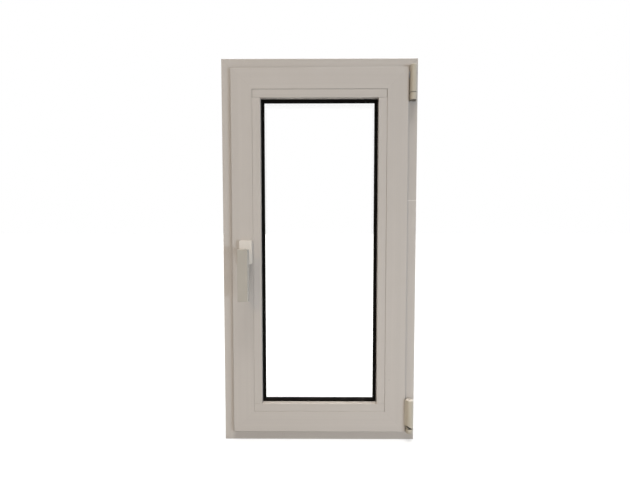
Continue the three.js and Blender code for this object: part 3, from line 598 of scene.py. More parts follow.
@dataclass(frozen=True)
class GlassFinish:
    """Clear float glass with the faintest wiping marks."""

    name: str = "clear_float_glass"
    wipe_size: float = 0.11
    wipe_range: tuple[float, float] = (0.52, 0.66)
    haze: float = 0.012
    refraction: float = 1.45

    @cache
    def material(self) -> bpy.types.Material:
        """Build the material, once.

        Returns:
            Clear glass.
        """
        material, wiring, shader = start_material(self.name)
        place = wiring.add("ShaderNodeTexCoord").outputs["Object"]
        wipes = wiring.ramp(wiring.noise(place, self.wipe_size, 2.0), *self.wipe_range, 0.0, self.haze)
        clear = {"Base Color": WHITE, "Transmission Weight": 1.0, "IOR": self.refraction, "Roughness": wipes}
        wiring.fill(shader, clear)
        return material


COAT = ((187, 179, 172), (183, 175, 167))
PAINT = ((180, 171, 155), (174, 164, 147))
STEEL = ((172, 174, 178), (150, 152, 156))
BAR_SURFACE = {"roughness": 0.46, "grain_size": 1.6 * MM, "streak": 0.035}
BEAD_SURFACE = {"roughness": 0.46, "streak": 0.03}
PAINT_SURFACE = {"grain_size": 0.8 * MM, "grain_depth": 0.008 * MM, "mottle_size": 0.03}
ROD_SURFACE = {
    "roughness": 0.34,
    "metallic": 1.0,
    "mottle_size": 0.02,
    "grain_size": 0.4 * MM,
    "streak": 0.25,
    "dust_amount": 0.2,
}
# Painted shade in the top bead's joint with the sash and at its two ends, where light from above leaves the
# joint dark.
BEAD_JOINT_SHADE = (
    Band("Z", 920.7 * MM, 0.8 * MM, 0.4),
    Band("X", -172.7 * MM, 0.8 * MM, 0.8),
    Band("X", 172.7 * MM, 0.8 * MM, 0.8),
)
# Painted shade on the top hinge: across the split between its two knuckles and on the underside of its lower
# end.
HINGE_SHADE_BANDS = (Band("Z", 910.9 * MM, 0.9 * MM, 0.8), Band("Z", 891.1 * MM, 1.1 * MM, 0.8))


class Finishes:
    """Every finish on the window."""

    upright = BreakProfileFinish("powder_coat_upright", *COAT, run=Run.UPRIGHT, **BAR_SURFACE)
    level = BreakProfileFinish("powder_coat_level", *COAT, run=Run.LEVEL, **BAR_SURFACE)
    # The hinge jamb carries a painted highlight line across it, with painted shade above it.
    hinge_jamb = BreakProfileFinish(
        "powder_coat_hinge_jamb", *COAT, run=Run.UPRIGHT, highlight_line_height=638.3 * MM, **BAR_SURFACE
    )
    bead_upright = Finish("powder_coat_bead_upright", *COAT, run=Run.UPRIGHT, **BEAD_SURFACE)
    bead_level = Finish("powder_coat_bead_level", *COAT, run=Run.LEVEL, **BEAD_SURFACE)
    bead_top = BandedFinish("powder_coat_bead_top", *COAT, run=Run.LEVEL, bands=BEAD_JOINT_SHADE, **BEAD_SURFACE)
    sealant = Finish("mitre_sealant", (176, 168, 159), (168, 160, 151), roughness=0.6, mottle_size=0.01)
    hardware = BandedFinish("hinge_paint", *PAINT, roughness=0.42, bands=HINGE_SHADE_BANDS, **PAINT_SURFACE)
    barrel = BarrelFinish("lower_hinge_paint", *PAINT, roughness=0.42, **PAINT_SURFACE)
    # Painted light: the lever's paint is darker than the hinge paint as painted shade, and the handle cover's
    # paint is lighter as a painted highlight from the light above.
    lever = Finish("lever_paint_shaded", (168, 161, 151), (163, 156, 145), roughness=0.4, **PAINT_SURFACE)
    cover = Finish("handle_cover_paint_lit", (219, 211, 202), (215, 207, 197), roughness=0.4, **PAINT_SURFACE)
    rubber = Finish("black_rubber", (13, 11, 9), (9, 8, 7), roughness=0.8, grain_size=0.5 * MM,
                    dust_amount=0.12, dust_color=(92, 84, 76), specular=0.05, speck_color=(40, 37, 33))
    spacer = SpacerFinish("warm_edge_spacer", (13, 12, 11), (9, 8, 8), roughness=0.7, specular=0.05,
                          dust_amount=0.0, speck_color=(16, 15, 14), scratch_amount=0.0)
    plastic = Finish("setting_block_plastic", (30, 29, 28), (22, 21, 20), roughness=0.55)
    cap = Finish("white_moulded_plastic", (193, 187, 178), (187, 180, 170), grain_size=0.6 * MM)
    plated = Finish("zinc_plate", (176, 178, 182), (150, 152, 156), roughness=0.32, metallic=1.0,
                    mottle_size=0.012, grain_size=0.4 * MM, dust_amount=0.2)
    cast = Finish("zinc_die_casting", (150, 151, 154), (128, 129, 132), roughness=0.48, metallic=1.0,
                  mottle_size=0.006, grain_size=0.6 * MM, dust_amount=0.2)
    rod_upright = Finish("drawn_steel_upright", *STEEL, run=Run.UPRIGHT, **ROD_SURFACE)
    rod_level = Finish("drawn_steel_level", *STEEL, run=Run.LEVEL, **ROD_SURFACE)
    mill = Finish("cast_aluminium", (172, 173, 176), (152, 153, 156), roughness=0.5, metallic=1.0,
                  mottle_size=0.01, dust_amount=0.1)
    glass = GlassFinish()


# -----------------------------------------------------------------------------------------------------------
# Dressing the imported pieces
# -----------------------------------------------------------------------------------------------------------
class Edge(Enum):
    """How much the edges of a piece are rounded, in metres, and in how many steps."""

    NONE = (0.0, 0)
    CRISP = (0.25 * MM, 2)
    FOLDED = (0.4 * MM, 3)
    SOFT = (1.2 * MM, 4)
    COVER = (2.4 * MM, 5)


class Dresser:
    """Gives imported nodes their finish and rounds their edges."""

    # The angle from which an edge is sharp, how close points are joined, and a normal that lies along an axis.
    SHARP = math.radians(40)
    JOIN = 0.01 * MM
    ALONG_AN_AXIS = 0.9995
    # Edges this close to a mitre, and those about the handle's holes (u and reach), aren't rounded.
    MITRE_OFF = 0.5 * MM
    HANDLE_HOLES = (61.0 * MM, 12.0 * MM)
    # The share of the full rounding that a bar's inner edges get.
    INNER_SHARE = 0.35

    def __init__(self) -> None:
        """Take the nodes from the frame and build the modifier groups."""
        self.nodes = frame["nodes"]
        self._smooth = self._smooth_group()
        self._corners = self._corners_group()

    @staticmethod
    def _start(name: str) -> tuple[Wiring, Socket, Socket]:
        """Start a modifier group with a geometry input and output.

        Args:
            name: The group's name.

        Returns:
            Its wiring, the incoming geometry and the socket that the result goes to.
        """
        tree = bpy.data.node_groups.new(name, "GeometryNodeTree")
        for way in ("INPUT", "OUTPUT"):
            tree.interface.new_socket(name="Geometry", in_out=way, socket_type="NodeSocketGeometry")
        wiring = Wiring(tree)
        return wiring, wiring.add("NodeGroupInput").outputs[0], wiring.add("NodeGroupOutput").inputs[0]

    def _smooth_group(self) -> bpy.types.NodeTree:
        """Make a group that shades every face smooth, so that rounded edges read as rounded.

        Returns:
            The group.
        """
        wiring, entry, leave = self._start("shade_smooth")
        wiring.feed(wiring.add("GeometryNodeSetShadeSmooth", {"Geometry": entry}).outputs[0], leave)
        return wiring.tree

    def _corners_group(self) -> bpy.types.NodeTree:
        """Make a group that shades only the rounded corners smooth and leaves faces along the axes flat.

        Returns:
            The group.
        """
        wiring, entry, leave = self._start("smooth_corners")
        axes = wiring.split(wiring.add("GeometryNodeInputNormal").outputs[0])
        across, deep, up = (wiring.math("ABSOLUTE", axes[axis]) for axis in "XYZ")
        most = wiring.math("MAXIMUM", wiring.math("MAXIMUM", across, deep), up)
        round_faces = {"Geometry": entry, "Selection": wiring.math("LESS_THAN", most, self.ALONG_AN_AXIS)}
        wiring.feed(wiring.add("GeometryNodeSetShadeSmooth", round_faces).outputs[0], leave)
        return wiring.tree

    def _weights_group(self, outer_y: float) -> bpy.types.NodeTree:
        """Make a group that says how much each edge of a mitred bar is rounded.

        Edges of the mitre faces and of the handle's holes stay sharp, edges in front of a depth get the full
        width, and the rest less.

        Args:
            outer_y: The depth in front of which an edge gets the full width.

        Returns:
            The group, which writes the bevel weight of every edge.
        """
        name = f"edge_weights_{round(outer_y / MM)}"
        if name in bpy.data.node_groups:
            return bpy.data.node_groups[name]
        wiring, entry, leave = self._start(name)
        half_width, half_height = FRAME_HALF
        axes = wiring.split(wiring.add("GeometryNodeInputPosition").outputs[0])
        in_x = wiring.math("SUBTRACT", half_width, wiring.math("ABSOLUTE", axes["X"]))
        in_z = wiring.math("SUBTRACT", axes["Z"], half_height)
        in_z = wiring.math("SUBTRACT", half_height, wiring.math("ABSOLUTE", in_z))
        off = wiring.math("ABSOLUTE", wiring.math("SUBTRACT", in_x, in_z))
        along = wiring.math("GREATER_THAN", off, self.MITRE_OFF)
        angle = wiring.add("GeometryNodeInputMeshEdgeAngle").outputs[0]
        sharp = wiring.math("GREATER_THAN", angle, self.SHARP)
        front = wiring.math("LESS_THAN", axes["Y"], outer_y)
        hole = wiring.near(wiring.math("MINIMUM", in_x, in_z), *self.HANDLE_HOLES)
        share = wiring.math("MULTIPLY_ADD", front, 1.0 - self.INNER_SHARE, self.INNER_SHARE)
        solid = wiring.math("SUBTRACT", 1.0, wiring.times(front, hole))
        share = wiring.times(share, solid, along, sharp)
        weights = {"Geometry": entry, "Name": "bevel_weight_edge", "Value": share}
        store = wiring.add("GeometryNodeStoreNamedAttribute", weights, data_type="FLOAT", domain="EDGE")
        wiring.feed(store.outputs[0], leave)
        return wiring.tree

    def _paint(self, name: str, finish: Finish | GlassFinish) -> bpy.types.Object:
        """Put a finish on one node.

        Args:
            name: The node.
            finish: Its finish.

        Returns:
            The node's object.
        """
        node = self.nodes[name]
        node.data.materials.clear()
        node.data.materials.append(finish.material())
        log.info("%s: %s", name, finish.name)
        return node

    def dress(self, names: Iterable[str], finish: Finish | GlassFinish, edge: Edge) -> None:
        """Put a finish on nodes and round their edges.

        Args:
            names: The nodes.
            finish: Their finish.
            edge: How much their edges are rounded.
        """
        for name in names:
            node = self._paint(name, finish)
            if edge is Edge.NONE:
                continue
            self._bevel(node, edge)
            node.modifiers.new("smooth", "NODES").node_group = self._smooth
            node.modifiers.new("even_normals", "WEIGHTED_NORMAL").keep_sharp = False

    def dress_bars(self, names: Iterable[str], finish: Finish, outer_y: float) -> None:
        """Put a finish on mitred bars, with soft outer edges and sharp mitres.

        Args:
            names: The nodes.
            finish: Their finish.
            outer_y: The depth in front of which their edges are softest.
        """
        for name in names:
            node = self._paint(name, finish)
            self._bevel(node, Edge.SOFT, self._weights_group(outer_y))
            node.modifiers.new("smooth_corners", "NODES").node_group = self._corners

    def _bevel(self, node: bpy.types.Object, edge: Edge, weights: bpy.types.NodeTree | None = None) -> None:
        """Join the loose triangles into one skin and round its edges.

        Args:
            node: The object.
            edge: How much its edges are rounded.
            weights: A group that writes each edge's share of the width, or None to round every sharp edge.
        """
        node.modifiers.new("join_faces", "WELD").merge_threshold = self.JOIN
        if weights:
            node.modifiers.new("edge_weights", "NODES").node_group = weights
        bevel = node.modifiers.new("round_edges", "BEVEL")
        bevel.limit_method, bevel.angle_limit = "WEIGHT" if weights else "ANGLE", self.SHARP
        bevel.width, bevel.segments = edge.value
        bevel.use_clamp_overlap = True


# -----------------------------------------------------------------------------------------------------------
# New small pieces
# -----------------------------------------------------------------------------------------------------------
class Corner(Enum):
    """The four corners, as the signs of x and of height from the middle."""

    BOTTOM_LEFT = (-1, -1)
    BOTTOM_RIGHT = (1, -1)
    TOP_LEFT = (-1, 1)
    TOP_RIGHT = (1, 1)

    def mitre(self) -> Matrix:
        """Find the corner's mitre plane: u inward, y deep and the third axis across the joint.

        Returns:
            The matrix that places a flat plate in that plane.
        """
        side, end = self.value
        half_width, half_height = FRAME_HALF
        across = Vector((end, 0.0, -side)).normalized()
        matrix = Matrix.Identity(4)
        matrix.col[0] = (-side, 0.0, -end, 0.0)
        matrix.col[2] = (*across, 0.0)
        matrix.col[3] = (side * half_width, 0.0, half_height + end * half_height, 1.0)
        return matrix


def add_piece(bm: bmesh.types.BMesh, name: str, body: str, finish: Finish) -> None:
    """Turn a finished bmesh into a piece that rides on a body.

    Args:
        bm: The mesh, in place; it is freed.
        name: The piece's name.
        body: The body that it moves with.
        finish: Its finish.
    """
    bmesh.ops.remove_doubles(bm, verts=bm.verts, dist=SAME_POINT)
    bmesh.ops.recalc_face_normals(bm, faces=bm.faces)
    mesh = bpy.data.meshes.new(name)
    bm.to_mesh(mesh)
    bm.free()
    mesh.materials.append(finish.material())
    piece = bpy.data.objects.new(name, mesh)
    bpy.context.scene.collection.objects.link(piece)
    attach(piece, body)
    log.info("%s: new piece on %s, %d faces", name, body, len(mesh.polygons))


def move(bm: bmesh.types.BMesh, parts: Iterable[object], matrix: Matrix, shrink: float = 1.0) -> None:
    """Place the vertices among some freshly made parts.

    Args:
        bm: Their mesh.
        parts: Vertices, and edges and faces that are passed over.
        matrix: The move.
        shrink: A scale across the Z axis that comes before it.
    """
    verts = [part for part in parts if isinstance(part, bmesh.types.BMVert)]
    bmesh.ops.transform(bm, matrix=matrix @ Matrix.Diagonal((shrink, shrink, 1.0, 1.0)), verts=verts)


def merge(into: bmesh.types.BMesh, one: bmesh.types.BMesh, place: Matrix) -> None:
    """Add a small mesh to a larger one at a place, and free it.

    Args:
        into: The larger mesh.
        one: The small mesh.
        place: Where it goes.
    """
    bmesh.ops.transform(one, matrix=place, verts=one.verts)
    mesh = bpy.data.meshes.new("part")
    one.to_mesh(mesh)
    one.free()
    into.from_mesh(mesh)
    bpy.data.meshes.remove(mesh)


@dataclass
class MitreSealant:
    """Sealant that closes the thin joint of four mitres, flush with the coat.

    A strip gives where a plate starts and ends, in millimetres: u from and to, and y from and to.
    """

    name: str
    body: str
    strips: tuple[Strip, ...]
    thickness: float = 0.27 * MM

    def build(self) -> None:
        """Lay a thin plate in every mitre for each strip."""
        bm = bmesh.new()
        for corner in Corner:
            for strip in self.strips:
                self._plate(bm, corner, strip)
        add_piece(bm, self.name, self.body, Finishes.sealant)

    def _plate(self, bm: bmesh.types.BMesh, corner: Corner, strip: Strip) -> None:
        """Extrude one plate in a mitre plane.

        Args:
            bm: The mesh to add to.
            corner: The corner.
            strip: Where the plate starts and ends.
        """
        u0, u1, y0, y1 = (value * MM for value in strip)
        sheet = bmesh.ops.create_grid(bm, x_segments=1, y_segments=1, size=0.5)["verts"]
        flat = Matrix.Translation(((u0 + u1) / 2, (y0 + y1) / 2, -self.thickness / 2))
        move(bm, sheet, flat @ Matrix.Diagonal((u1 - u0, y1 - y0, 1.0, 1.0)))
        face = sheet[0].link_faces[0]
        grown = bmesh.ops.extrude_face_region(bm, geom=[face], use_keep_orig=True)["geom"]
        move(bm, grown, Matrix.Translation((0.0, 0.0, self.thickness)))
        move(bm, {*sheet, *grown}, corner.mitre())


@dataclass
class Screw:
    """A low round screw head with a cross recess, its axis along +Z and its seat at 0."""

    radius: float = 3.3 * MM
    height: float = 1.1 * MM
    dome: tuple[tuple[float, float], ...] = ((0.45, 1.0), (0.35, 0.93), (0.2, 0.84))
    slot_half: float = 0.4 * MM
    slot_reach: float = 1.7 * MM
    slot_depth: float = 0.8 * MM
    slot_taper: float = 0.75
    sides: int = 24

    def build(self) -> bmesh.types.BMesh:
        """Raise a domed head from a round disc and sink the cross.

        Returns:
            The head's mesh.
        """
        bm = bmesh.new()
        bmesh.ops.create_circle(bm, cap_ends=True, segments=self.sides, radius=self.radius)
        top = next(iter(bm.faces))
        for rise, shrink in self.dome:
            grown = bmesh.ops.extrude_face_region(bm, geom=[top])["geom"]
            top = next(item for item in grown if isinstance(item, bmesh.types.BMFace))
            move(bm, grown, Matrix.Translation((0.0, 0.0, self.height * rise)), shrink)
        for axis in (Vector((1, 0, 0)), Vector((0, 1, 0))):
            for cut_at in (-self.slot_reach, -self.slot_half, self.slot_half, self.slot_reach):
                faces = self._flats(bm)
                parts = {*faces, *(edge for face in faces for edge in face.edges)}
                parts |= {vert for face in faces for vert in face.verts}
                bmesh.ops.bisect_plane(bm, geom=list(parts), dist=1e-7, plane_co=axis * cut_at, plane_no=axis)
        cross = [face for face in self._flats(bm) if self._in_cross(face.calc_center_median())]
        sunk = bmesh.ops.extrude_face_region(bm, geom=cross)["geom"]
        move(bm, sunk, Matrix.Translation((0.0, 0.0, -self.slot_depth)), self.slot_taper)
        return bm

    def _flats(self, bm: bmesh.types.BMesh) -> list[bmesh.types.BMFace]:
        """The faces at the top of the head."""
        return [face for face in bm.faces if all(abs(vert.co.z - self.height) < 1e-6 for vert in face.verts)]

    def _in_cross(self, at: Vector) -> bool:
        """Whether a point of the top lies in the cross recess."""
        near, far = sorted((abs(at.x), abs(at.y)))
        return near < self.slot_half and far < self.slot_reach


class Facing(Enum):
    """Which way a screw or cap faces, as degrees and an axis of the turn that takes +Z there."""

    RIGHT = (90, "Y")
    LEFT = (-90, "Y")
    UP = (0, "X")
    DOWN = (180, "X")

    def turn(self) -> Matrix:
        """The turn that takes +Z to this direction."""
        degrees, axis = self.value
        return Matrix.Rotation(math.radians(degrees), 4, axis)


@dataclass
class Fasteners:
    """Screws of the keeps, hinge leaf, corner drives and stay's guide, and caps over the fixing holes.

    A seat is how far inward from the frame's outer edge a screw or cap sits, and a depth is its y.
    """

    screw: Screw = field(default_factory=Screw)
    flush: Screw = field(
        default_factory=lambda: Screw(2.9 * MM, 0.5 * MM, slot_reach=1.5 * MM, slot_depth=0.45 * MM)
    )
    turn_step: float = 40.0
    keep_seat: float = 32.3 * MM
    keep_depth: float = -20.8 * MM
    keep_spread: float = 24.0 * MM
    edge_depth: float = -22.0 * MM
    leaf_seat: float = 37.0 * MM
    leaf_heights: tuple[float, float] = (77.0 * MM, 101.0 * MM)
    drive_seat: float = 45.3 * MM
    drive_along: float = 74.0 * MM
    guide_seat: float = 42.0 * MM
    guide_end: float = 7.0 * MM
    cap_radius: float = 6.0 * MM
    cap_height: float = 1.2 * MM
    cap_sides: int = 32
    cap_rim: float = 0.5 * MM
    cap_inset: float = 1.2 * MM
    cap_dish: float = 0.25 * MM
    cap_seat: float = 30.0 * MM
    cap_depth: float = -19.0 * MM
    cap_heights: tuple[float, float, float] = (180.0 * MM, 500.0 * MM, 820.0 * MM)

    def build(self) -> None:
        """Add every screw and cap."""
        self._keep_screws()
        self._leaf_screws()
        self._drive_screws()
        self._caps()

    def _group(self, name: str, body: str, places: Iterable[tuple[Point, Facing]], head: Screw) -> None:
        """Add a set of screws as one piece, each turned another way.

        Args:
            name: The piece's name.
            body: The body that it rides on.
            places: Where each seat is and which way it faces.
            head: The kind of screw.
        """
        bm = bmesh.new()
        for at, facing in places:
            turn = Matrix.Rotation(at[2] * self.turn_step, 4, "Z")
            merge(bm, head.build(), Matrix.Translation(at) @ facing.turn() @ turn)
        add_piece(bm, name, body, Finishes.plated)

    def _keep_screws(self) -> None:
        """Put two screws in each of the four keeps."""
        left, top = -FRAME_HALF[0], 2 * FRAME_HALF[1]
        places: list[tuple[Point, Facing]] = []
        for node in ("keep_side_lower", "keep_side_upper"):
            low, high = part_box(node)
            for off in (-self.keep_spread, self.keep_spread):
                at = (left + self.keep_seat, self.keep_depth, (low.z + high.z) / 2 + off)
                places.append((at, Facing.RIGHT))
        ends = (("keep_bottom", self.keep_seat, Facing.UP), ("keep_top", top - self.keep_seat, Facing.DOWN))
        for node, height, facing in ends:
            low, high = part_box(node)
            for off in (-self.keep_spread, self.keep_spread):
                places.append((((low.x + high.x) / 2 + off, self.keep_depth, height), facing))
        self._group("keep_screws", "frame", places, self.screw)

    def _leaf_screws(self) -> None:
        """Put two screws through the lower hinge leaf into the sash's edge."""
        edge = FRAME_HALF[0] - self.leaf_seat
        places = [((edge, self.edge_depth, height), Facing.RIGHT) for height in self.leaf_heights]
        self._group("hinge_leaf_screws", "sash", places, self.screw)

    def _drive_screws(self) -> None:
        """Put one screw in each upright and level leg of the corner drives, and two in the stay's guide."""
        left, top, depth = -FRAME_HALF[0], 2 * FRAME_HALF[1], self.edge_depth
        seat, along = self.drive_seat, self.drive_along
        places = [
            ((left + seat, depth, along), Facing.LEFT),
            ((left + seat, depth, top - along), Facing.LEFT),
            ((left + along, depth, seat), Facing.DOWN),
            ((left + along, depth, top - seat), Facing.UP),
        ]
        low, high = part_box("stay_guide")
        for x in (low.x + self.guide_end, high.x - self.guide_end):
            places.append(((x, depth, top - self.guide_seat), Facing.UP))
        self._group("drive_screws", "sash", places, self.flush)

    def _caps(self) -> None:
        """Put round moulded caps over the fixing holes in both jambs."""
        bm = bmesh.new()
        for side, facing in ((-1, Facing.RIGHT), (1, Facing.LEFT)):
            for height in self.cap_heights:
                at = Matrix.Translation((side * (FRAME_HALF[0] - self.cap_seat), self.cap_depth, height))
                merge(bm, self._cap(), at @ facing.turn())
        add_piece(bm, "fixing_hole_caps", "frame", Finishes.cap)

    def _cap(self) -> bmesh.types.BMesh:
        """Make a cap with a rounded rim and a shallow dished middle, its seat at 0.

        Returns:
            The cap's mesh.
        """
        bm = bmesh.new()
        radius, height = self.cap_radius, self.cap_height
        round_bar = {"radius1": radius, "radius2": radius, "depth": height}
        bmesh.ops.create_cone(bm, cap_ends=True, segments=self.cap_sides, **round_bar)
        bmesh.ops.translate(bm, verts=bm.verts, vec=(0.0, 0.0, height / 2))
        rim = {"geom": list(self._lid(bm).edges), "offset": self.cap_rim}
        bmesh.ops.bevel(bm, **rim, segments=3, profile=0.5, affect="EDGES", material=-1)
        bmesh.ops.inset_region(bm, faces=[self._lid(bm)], thickness=self.cap_inset, depth=-self.cap_dish)
        return bm

    @staticmethod
    def _lid(bm: bmesh.types.BMesh) -> bmesh.types.BMFace:
        """The highest face of a cap."""
        return max(bm.faces, key=lambda face: face.calc_center_median().z)


# -----------------------------------------------------------------------------------------------------------
# Stage
# -----------------------------------------------------------------------------------------------------------
def hang(data: bpy.types.Light, azimuth: float, elevation: float, distance: float) -> bpy.types.Object:
    """Hang a light so that it shines towards the window.

    Args:
        data: The light, whose name the object takes.
        azimuth: Degrees round the window; 0 is the room side, and it grows towards the hinges.
        elevation: Degrees above the floor.
        distance: How far off it hangs.

    Returns:
        The light's object.
    """
    turn, rise = math.radians(azimuth), math.radians(elevation)
    towards = Vector((math.sin(turn) * math.cos(rise), -math.cos(turn) * math.cos(rise), math.sin(rise)))
    lamp = bpy.data.objects.new(data.name, data)
    lamp.location = towards * distance
    lamp.rotation_euler = towards.to_track_quat("Z", "Y").to_euler()
    bpy.context.scene.collection.objects.link(lamp)
    return lamp


@dataclass(frozen=True)
class Lamp:
    """A wide soft light from far away; its strength is what a white face turned to it sends back."""

    name: str
    azimuth: float
    elevation: float
    strength: float
    color: tuple[float, float, float]
    spread: float
    distance: float = 4.0

    def build(self) -> None:
        """Add the light."""
        data = bpy.data.lights.new(self.name, "SUN")
        data.energy = self.strength * math.pi
        data.color = self.color
        data.angle = math.radians(self.spread)
        hang(data, self.azimuth, self.elevation, self.distance)


@dataclass(frozen=True)
class Panel:
    """A low panel beside the window, near enough for its light to fade across the window and up it.

    Its strength is what a white face turned straight to it sends back.
    """

    name: str
    azimuth: float
    strength: float
    color: tuple[float, float, float]
    distance: float
    height: float = 0.25
    width: float = 1.5
    tall: float = 0.4

    def build(self) -> None:
        """Add the panel, which is seen only by what it lights."""
        data = bpy.data.lights.new(self.name, "AREA")
        data.shape, data.size, data.size_y = "RECTANGLE", self.width, self.tall
        data.energy = self.strength * (math.pi * self.distance) ** 2
        data.color = self.color
        panel = hang(data, self.azimuth, 0.0, self.distance)
        panel.location.z = self.height
        panel.visible_camera = panel.visible_glossy = panel.visible_transmission = False


@dataclass
class Stage:
    """Floor, world light, lamps and camera."""

    floor_half: float = 30.0
    floor_drop: float = 0.5 * MM
    floor_color: float = 0.36
    floor_glow: float = 0.62
    sky: float = 0.11
    sky_color: Linear = (1.0, 0.97, 0.93, 1.0)
    camera_at: Point = (-0.0041, -1.1356, 0.5705)
    camera_turn: Point = (86.822, 0.021, 0.383)
    lens: float = 24.114
    sensor: float = 36.0
    nearest: float = 0.01
    lamps: tuple[Lamp | Panel, ...] = (
        Lamp("overhead_lamp", 2.0, 75.0, 0.90, (1.0, 0.99, 0.965), 24.0),
        Lamp("warm_lamp", -25.0, 27.0, 0.15, (1.0, 0.80, 0.56), 11.0),
        Panel("cool_side_panel", 46.0, 0.335, (0.81, 0.98, 1.17), 4.5),
        Panel("warm_side_panel", -60.0, 0.04, (1.0, 0.80, 0.50), 1.8),
        Panel("low_panel", 0.0, 0.09, (1.0, 0.97, 0.92), 0.9, 0.1, 0.6, 0.3),
        Lamp("rear_lamp", 165.0, 54.0, 0.62, (1.0, 1.0, 1.0), 48.0),
    )

    def build(self) -> None:
        """Make the whole stage."""
        self._camera()
        self._world()
        self._floor()
        for lamp in self.lamps:
            lamp.build()
        bpy.context.scene.view_settings.view_transform = "Standard"

    def _camera(self) -> None:
        """Set the camera in front of the room side, a little above the middle."""
        data = bpy.data.cameras.new("camera")
        data.lens = self.lens
        data.sensor_width = self.sensor
        data.clip_start = self.nearest
        camera = bpy.data.objects.new("camera", data)
        camera.location = self.camera_at
        camera.rotation_euler = [math.radians(degrees) for degrees in self.camera_turn]
        bpy.context.scene.collection.objects.link(camera)
        bpy.context.scene.camera = camera

    @staticmethod
    def _seen(wiring: Wiring, *kinds: str) -> Socket:
        """Tell some kinds of ray from the rest.

        Args:
            wiring: The wiring of the world or a material.
            kinds: Names of the kinds of ray.

        Returns:
            A factor of 1 for those kinds and 0 for the others.
        """
        path = wiring.add("ShaderNodeLightPath").outputs
        factor = path[kinds[0]]
        for kind in kinds[1:]:
            factor = wiring.math("MAXIMUM", factor, path[kind])
        return factor

    def _world(self) -> None:
        """Make a soft even sky, seen as plain white."""
        world = bpy.data.worlds.new("studio")
        world.use_nodes = True
        wiring = Wiring(world.node_tree)
        light = world.node_tree.nodes["Background"]
        wiring.fill(light, {"Color": self.sky_color, "Strength": self.sky})
        white = wiring.add("ShaderNodeBackground", {"Color": WHITE, "Strength": 1.0})
        seen = self._seen(wiring, "Is Camera Ray", "Is Glossy Ray", "Is Transmission Ray")
        mix = wiring.add("ShaderNodeMixShader", {"Fac": seen, 1: light.outputs[0], 2: white.outputs[0]})
        wiring.feed(mix.outputs[0], world.node_tree.nodes["World Output"].inputs["Surface"])
        bpy.context.scene.world = world

    def _floor(self) -> None:
        """Lay a pale floor under the sill that keeps a soft shadow and otherwise looks white."""
        bm = bmesh.new()
        bmesh.ops.create_grid(bm, x_segments=1, y_segments=1, size=self.floor_half)
        mesh = bpy.data.meshes.new("floor")
        bm.to_mesh(mesh)
        bm.free()
        floor = bpy.data.objects.new("floor", mesh)
        floor.location.z = -self.floor_drop
        bpy.context.scene.collection.objects.link(floor)
        material, wiring, shader = start_material("pale_floor")
        nodes = material.node_tree.nodes
        nodes.remove(shader)
        matt = wiring.add("ShaderNodeBsdfDiffuse", {"Color": (self.floor_color,) * 3 + (1.0,)})
        direct = wiring.times(self._seen(wiring, "Is Camera Ray"), self.floor_glow)
        through = self._seen(wiring, "Is Glossy Ray", "Is Transmission Ray")
        glow = wiring.add("ShaderNodeEmission", {"Strength": wiring.math("MAXIMUM", direct, through)})
        both = wiring.add("ShaderNodeAddShader", {0: matt.outputs[0], 1: glow.outputs[0]})
        wiring.feed(both.outputs[0], nodes["Material Output"].inputs["Surface"])
        mesh.materials.append(material)


# -----------------------------------------------------------------------------------------------------------
# Sub-assemblies
# -----------------------------------------------------------------------------------------------------------
def nodes_like(*starts: str) -> list[str]:
    """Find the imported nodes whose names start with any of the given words.

    Args:
        starts: Beginnings of names.

    Returns:
        The matching names, in order.
    """
    return [name for name in sorted(frame["nodes"]) if name.startswith(starts)]


@dataclass
class FixedFrame:
    """The frame's four bars with their cleats, seals, keeps and drain caps."""

    outer_y: float = -29.0 * MM
    strips: tuple[Strip, ...] = (
        (0.1, 29.9, -29.93, -28.2),
        (28.2, 29.9, -29.9, -8.2),
        (0.1, 1.8, -29.9, 29.9),
        (0.1, 48.9, 28.2, 29.93),
    )

    def build(self, dresser: Dresser) -> None:
        """Dress the frame and close its mitres.

        Args:
            dresser: Puts finishes on nodes.
        """
        dresser.dress_bars(["frame_sill", "frame_head"], Finishes.level, self.outer_y)
        dresser.dress_bars(["frame_left_jamb"], Finishes.upright, self.outer_y)
        dresser.dress_bars(["frame_right_jamb"], Finishes.hinge_jamb, self.outer_y)
        dresser.dress(nodes_like("frame_corner_cleat"), Finishes.mill, Edge.CRISP)
        dresser.dress(["frame_centre_seal"], Finishes.rubber, Edge.CRISP)
        dresser.dress(nodes_like("drain_cap"), Finishes.cap, Edge.SOFT)
        dresser.dress(nodes_like("keep_"), Finishes.cast, Edge.CRISP)
        MitreSealant("frame_mitre_sealant", "frame", self.strips).build()


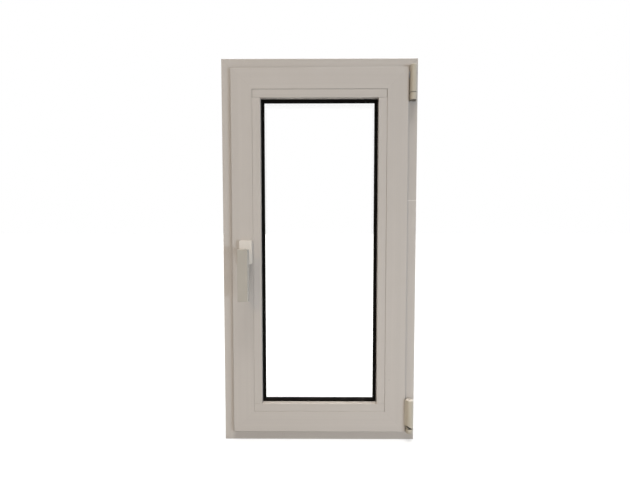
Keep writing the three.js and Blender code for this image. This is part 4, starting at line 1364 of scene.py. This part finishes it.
@dataclass
class Sash:
    """The sash's four bars with their cleats, beads and seals."""

    outer_y: float = -36.5 * MM
    strips: tuple[Strip, ...] = (
        (24.1, 78.9, -37.93, -36.3),
        (54.1, 91.4, 28.2, 29.93),
        (42.1, 43.8, -37.9, -28.1),
        (42.1, 43.8, -15.9, -8.1),
        (54.1, 55.8, 14.2, 29.9),
    )

    def build(self, dresser: Dresser) -> None:
        """Dress the sash and close its mitres.

        Args:
            dresser: Puts finishes on nodes.
        """
        dresser.dress_bars(["sash_bottom_rail", "sash_top_rail"], Finishes.level, self.outer_y)
        dresser.dress_bars(["sash_left_stile", "sash_right_stile"], Finishes.upright, self.outer_y)
        dresser.dress(nodes_like("sash_corner_cleat"), Finishes.mill, Edge.CRISP)
        dresser.dress(["bead_left", "bead_right"], Finishes.bead_upright, Edge.FOLDED)
        dresser.dress(["bead_bottom"], Finishes.bead_level, Edge.FOLDED)
        dresser.dress(["bead_top"], Finishes.bead_top, Edge.FOLDED)
        dresser.dress(nodes_like("flap_seal"), Finishes.rubber, Edge.CRISP)
        MitreSealant("sash_mitre_sealant", "sash", self.strips).build()


class GlassUnit:
    """The two panes, the spacer between them, their gaskets and setting blocks."""

    def build(self, dresser: Dresser) -> None:
        """Dress the glass unit.

        Args:
            dresser: Puts finishes on nodes.
        """
        dresser.dress(["inner_pane", "outer_pane"], Finishes.glass, Edge.NONE)
        dresser.dress(["inner_glazing_gasket", "outer_glazing_gasket"], Finishes.rubber, Edge.CRISP)
        dresser.dress(["spacer_bar"], Finishes.spacer, Edge.CRISP)
        dresser.dress(nodes_like("setting_block"), Finishes.plastic, Edge.CRISP)


class Hardware:
    """Hinges, tilt stay, handle and the rods that it drives."""

    def build(self, dresser: Dresser) -> None:
        """Dress the hardware.

        Args:
            dresser: Puts finishes on nodes.
        """
        dresser.dress(["handle_lever"], Finishes.lever, Edge.SOFT)
        dresser.dress(["handle_cover"], Finishes.cover, Edge.COVER)
        hinges = ["top_hinge_bearing", "top_hinge_cover", "bottom_hinge_bearing"]
        dresser.dress(hinges, Finishes.hardware, Edge.FOLDED)
        dresser.dress(["bottom_hinge_cover"], Finishes.barrel, Edge.CRISP)
        castings = nodes_like("gearbox", "corner_drive", "stay_guide", "handle_base_plate")
        dresser.dress(castings, Finishes.cast, Edge.CRISP)
        dresser.dress(["side_drive_rod"], Finishes.rod_upright, Edge.CRISP)
        dresser.dress(["top_drive_rod", "bottom_drive_rod", "stay_arm"], Finishes.rod_level, Edge.CRISP)
        hinge_steel = ["top_hinge_pin", "bottom_hinge_pin", "bottom_hinge_swivel", "bottom_hinge_leaf"]
        handle_steel = ["handle_screw_upper", "handle_screw_lower", "handle_spindle", "drive_pinion"]
        dresser.dress(hinge_steel + handle_steel, Finishes.plated, Edge.CRISP)


def main() -> None:
    """Build the stage, dress the window and add its small pieces."""
    logging.basicConfig(level=logging.INFO, format="%(name)s %(message)s")
    Stage().build()
    dresser = Dresser()
    for assembly in (FixedFrame(), Sash(), GlassUnit(), Hardware()):
        assembly.build(dresser)
    Fasteners().build()


if __name__ == "__main__":
    main()
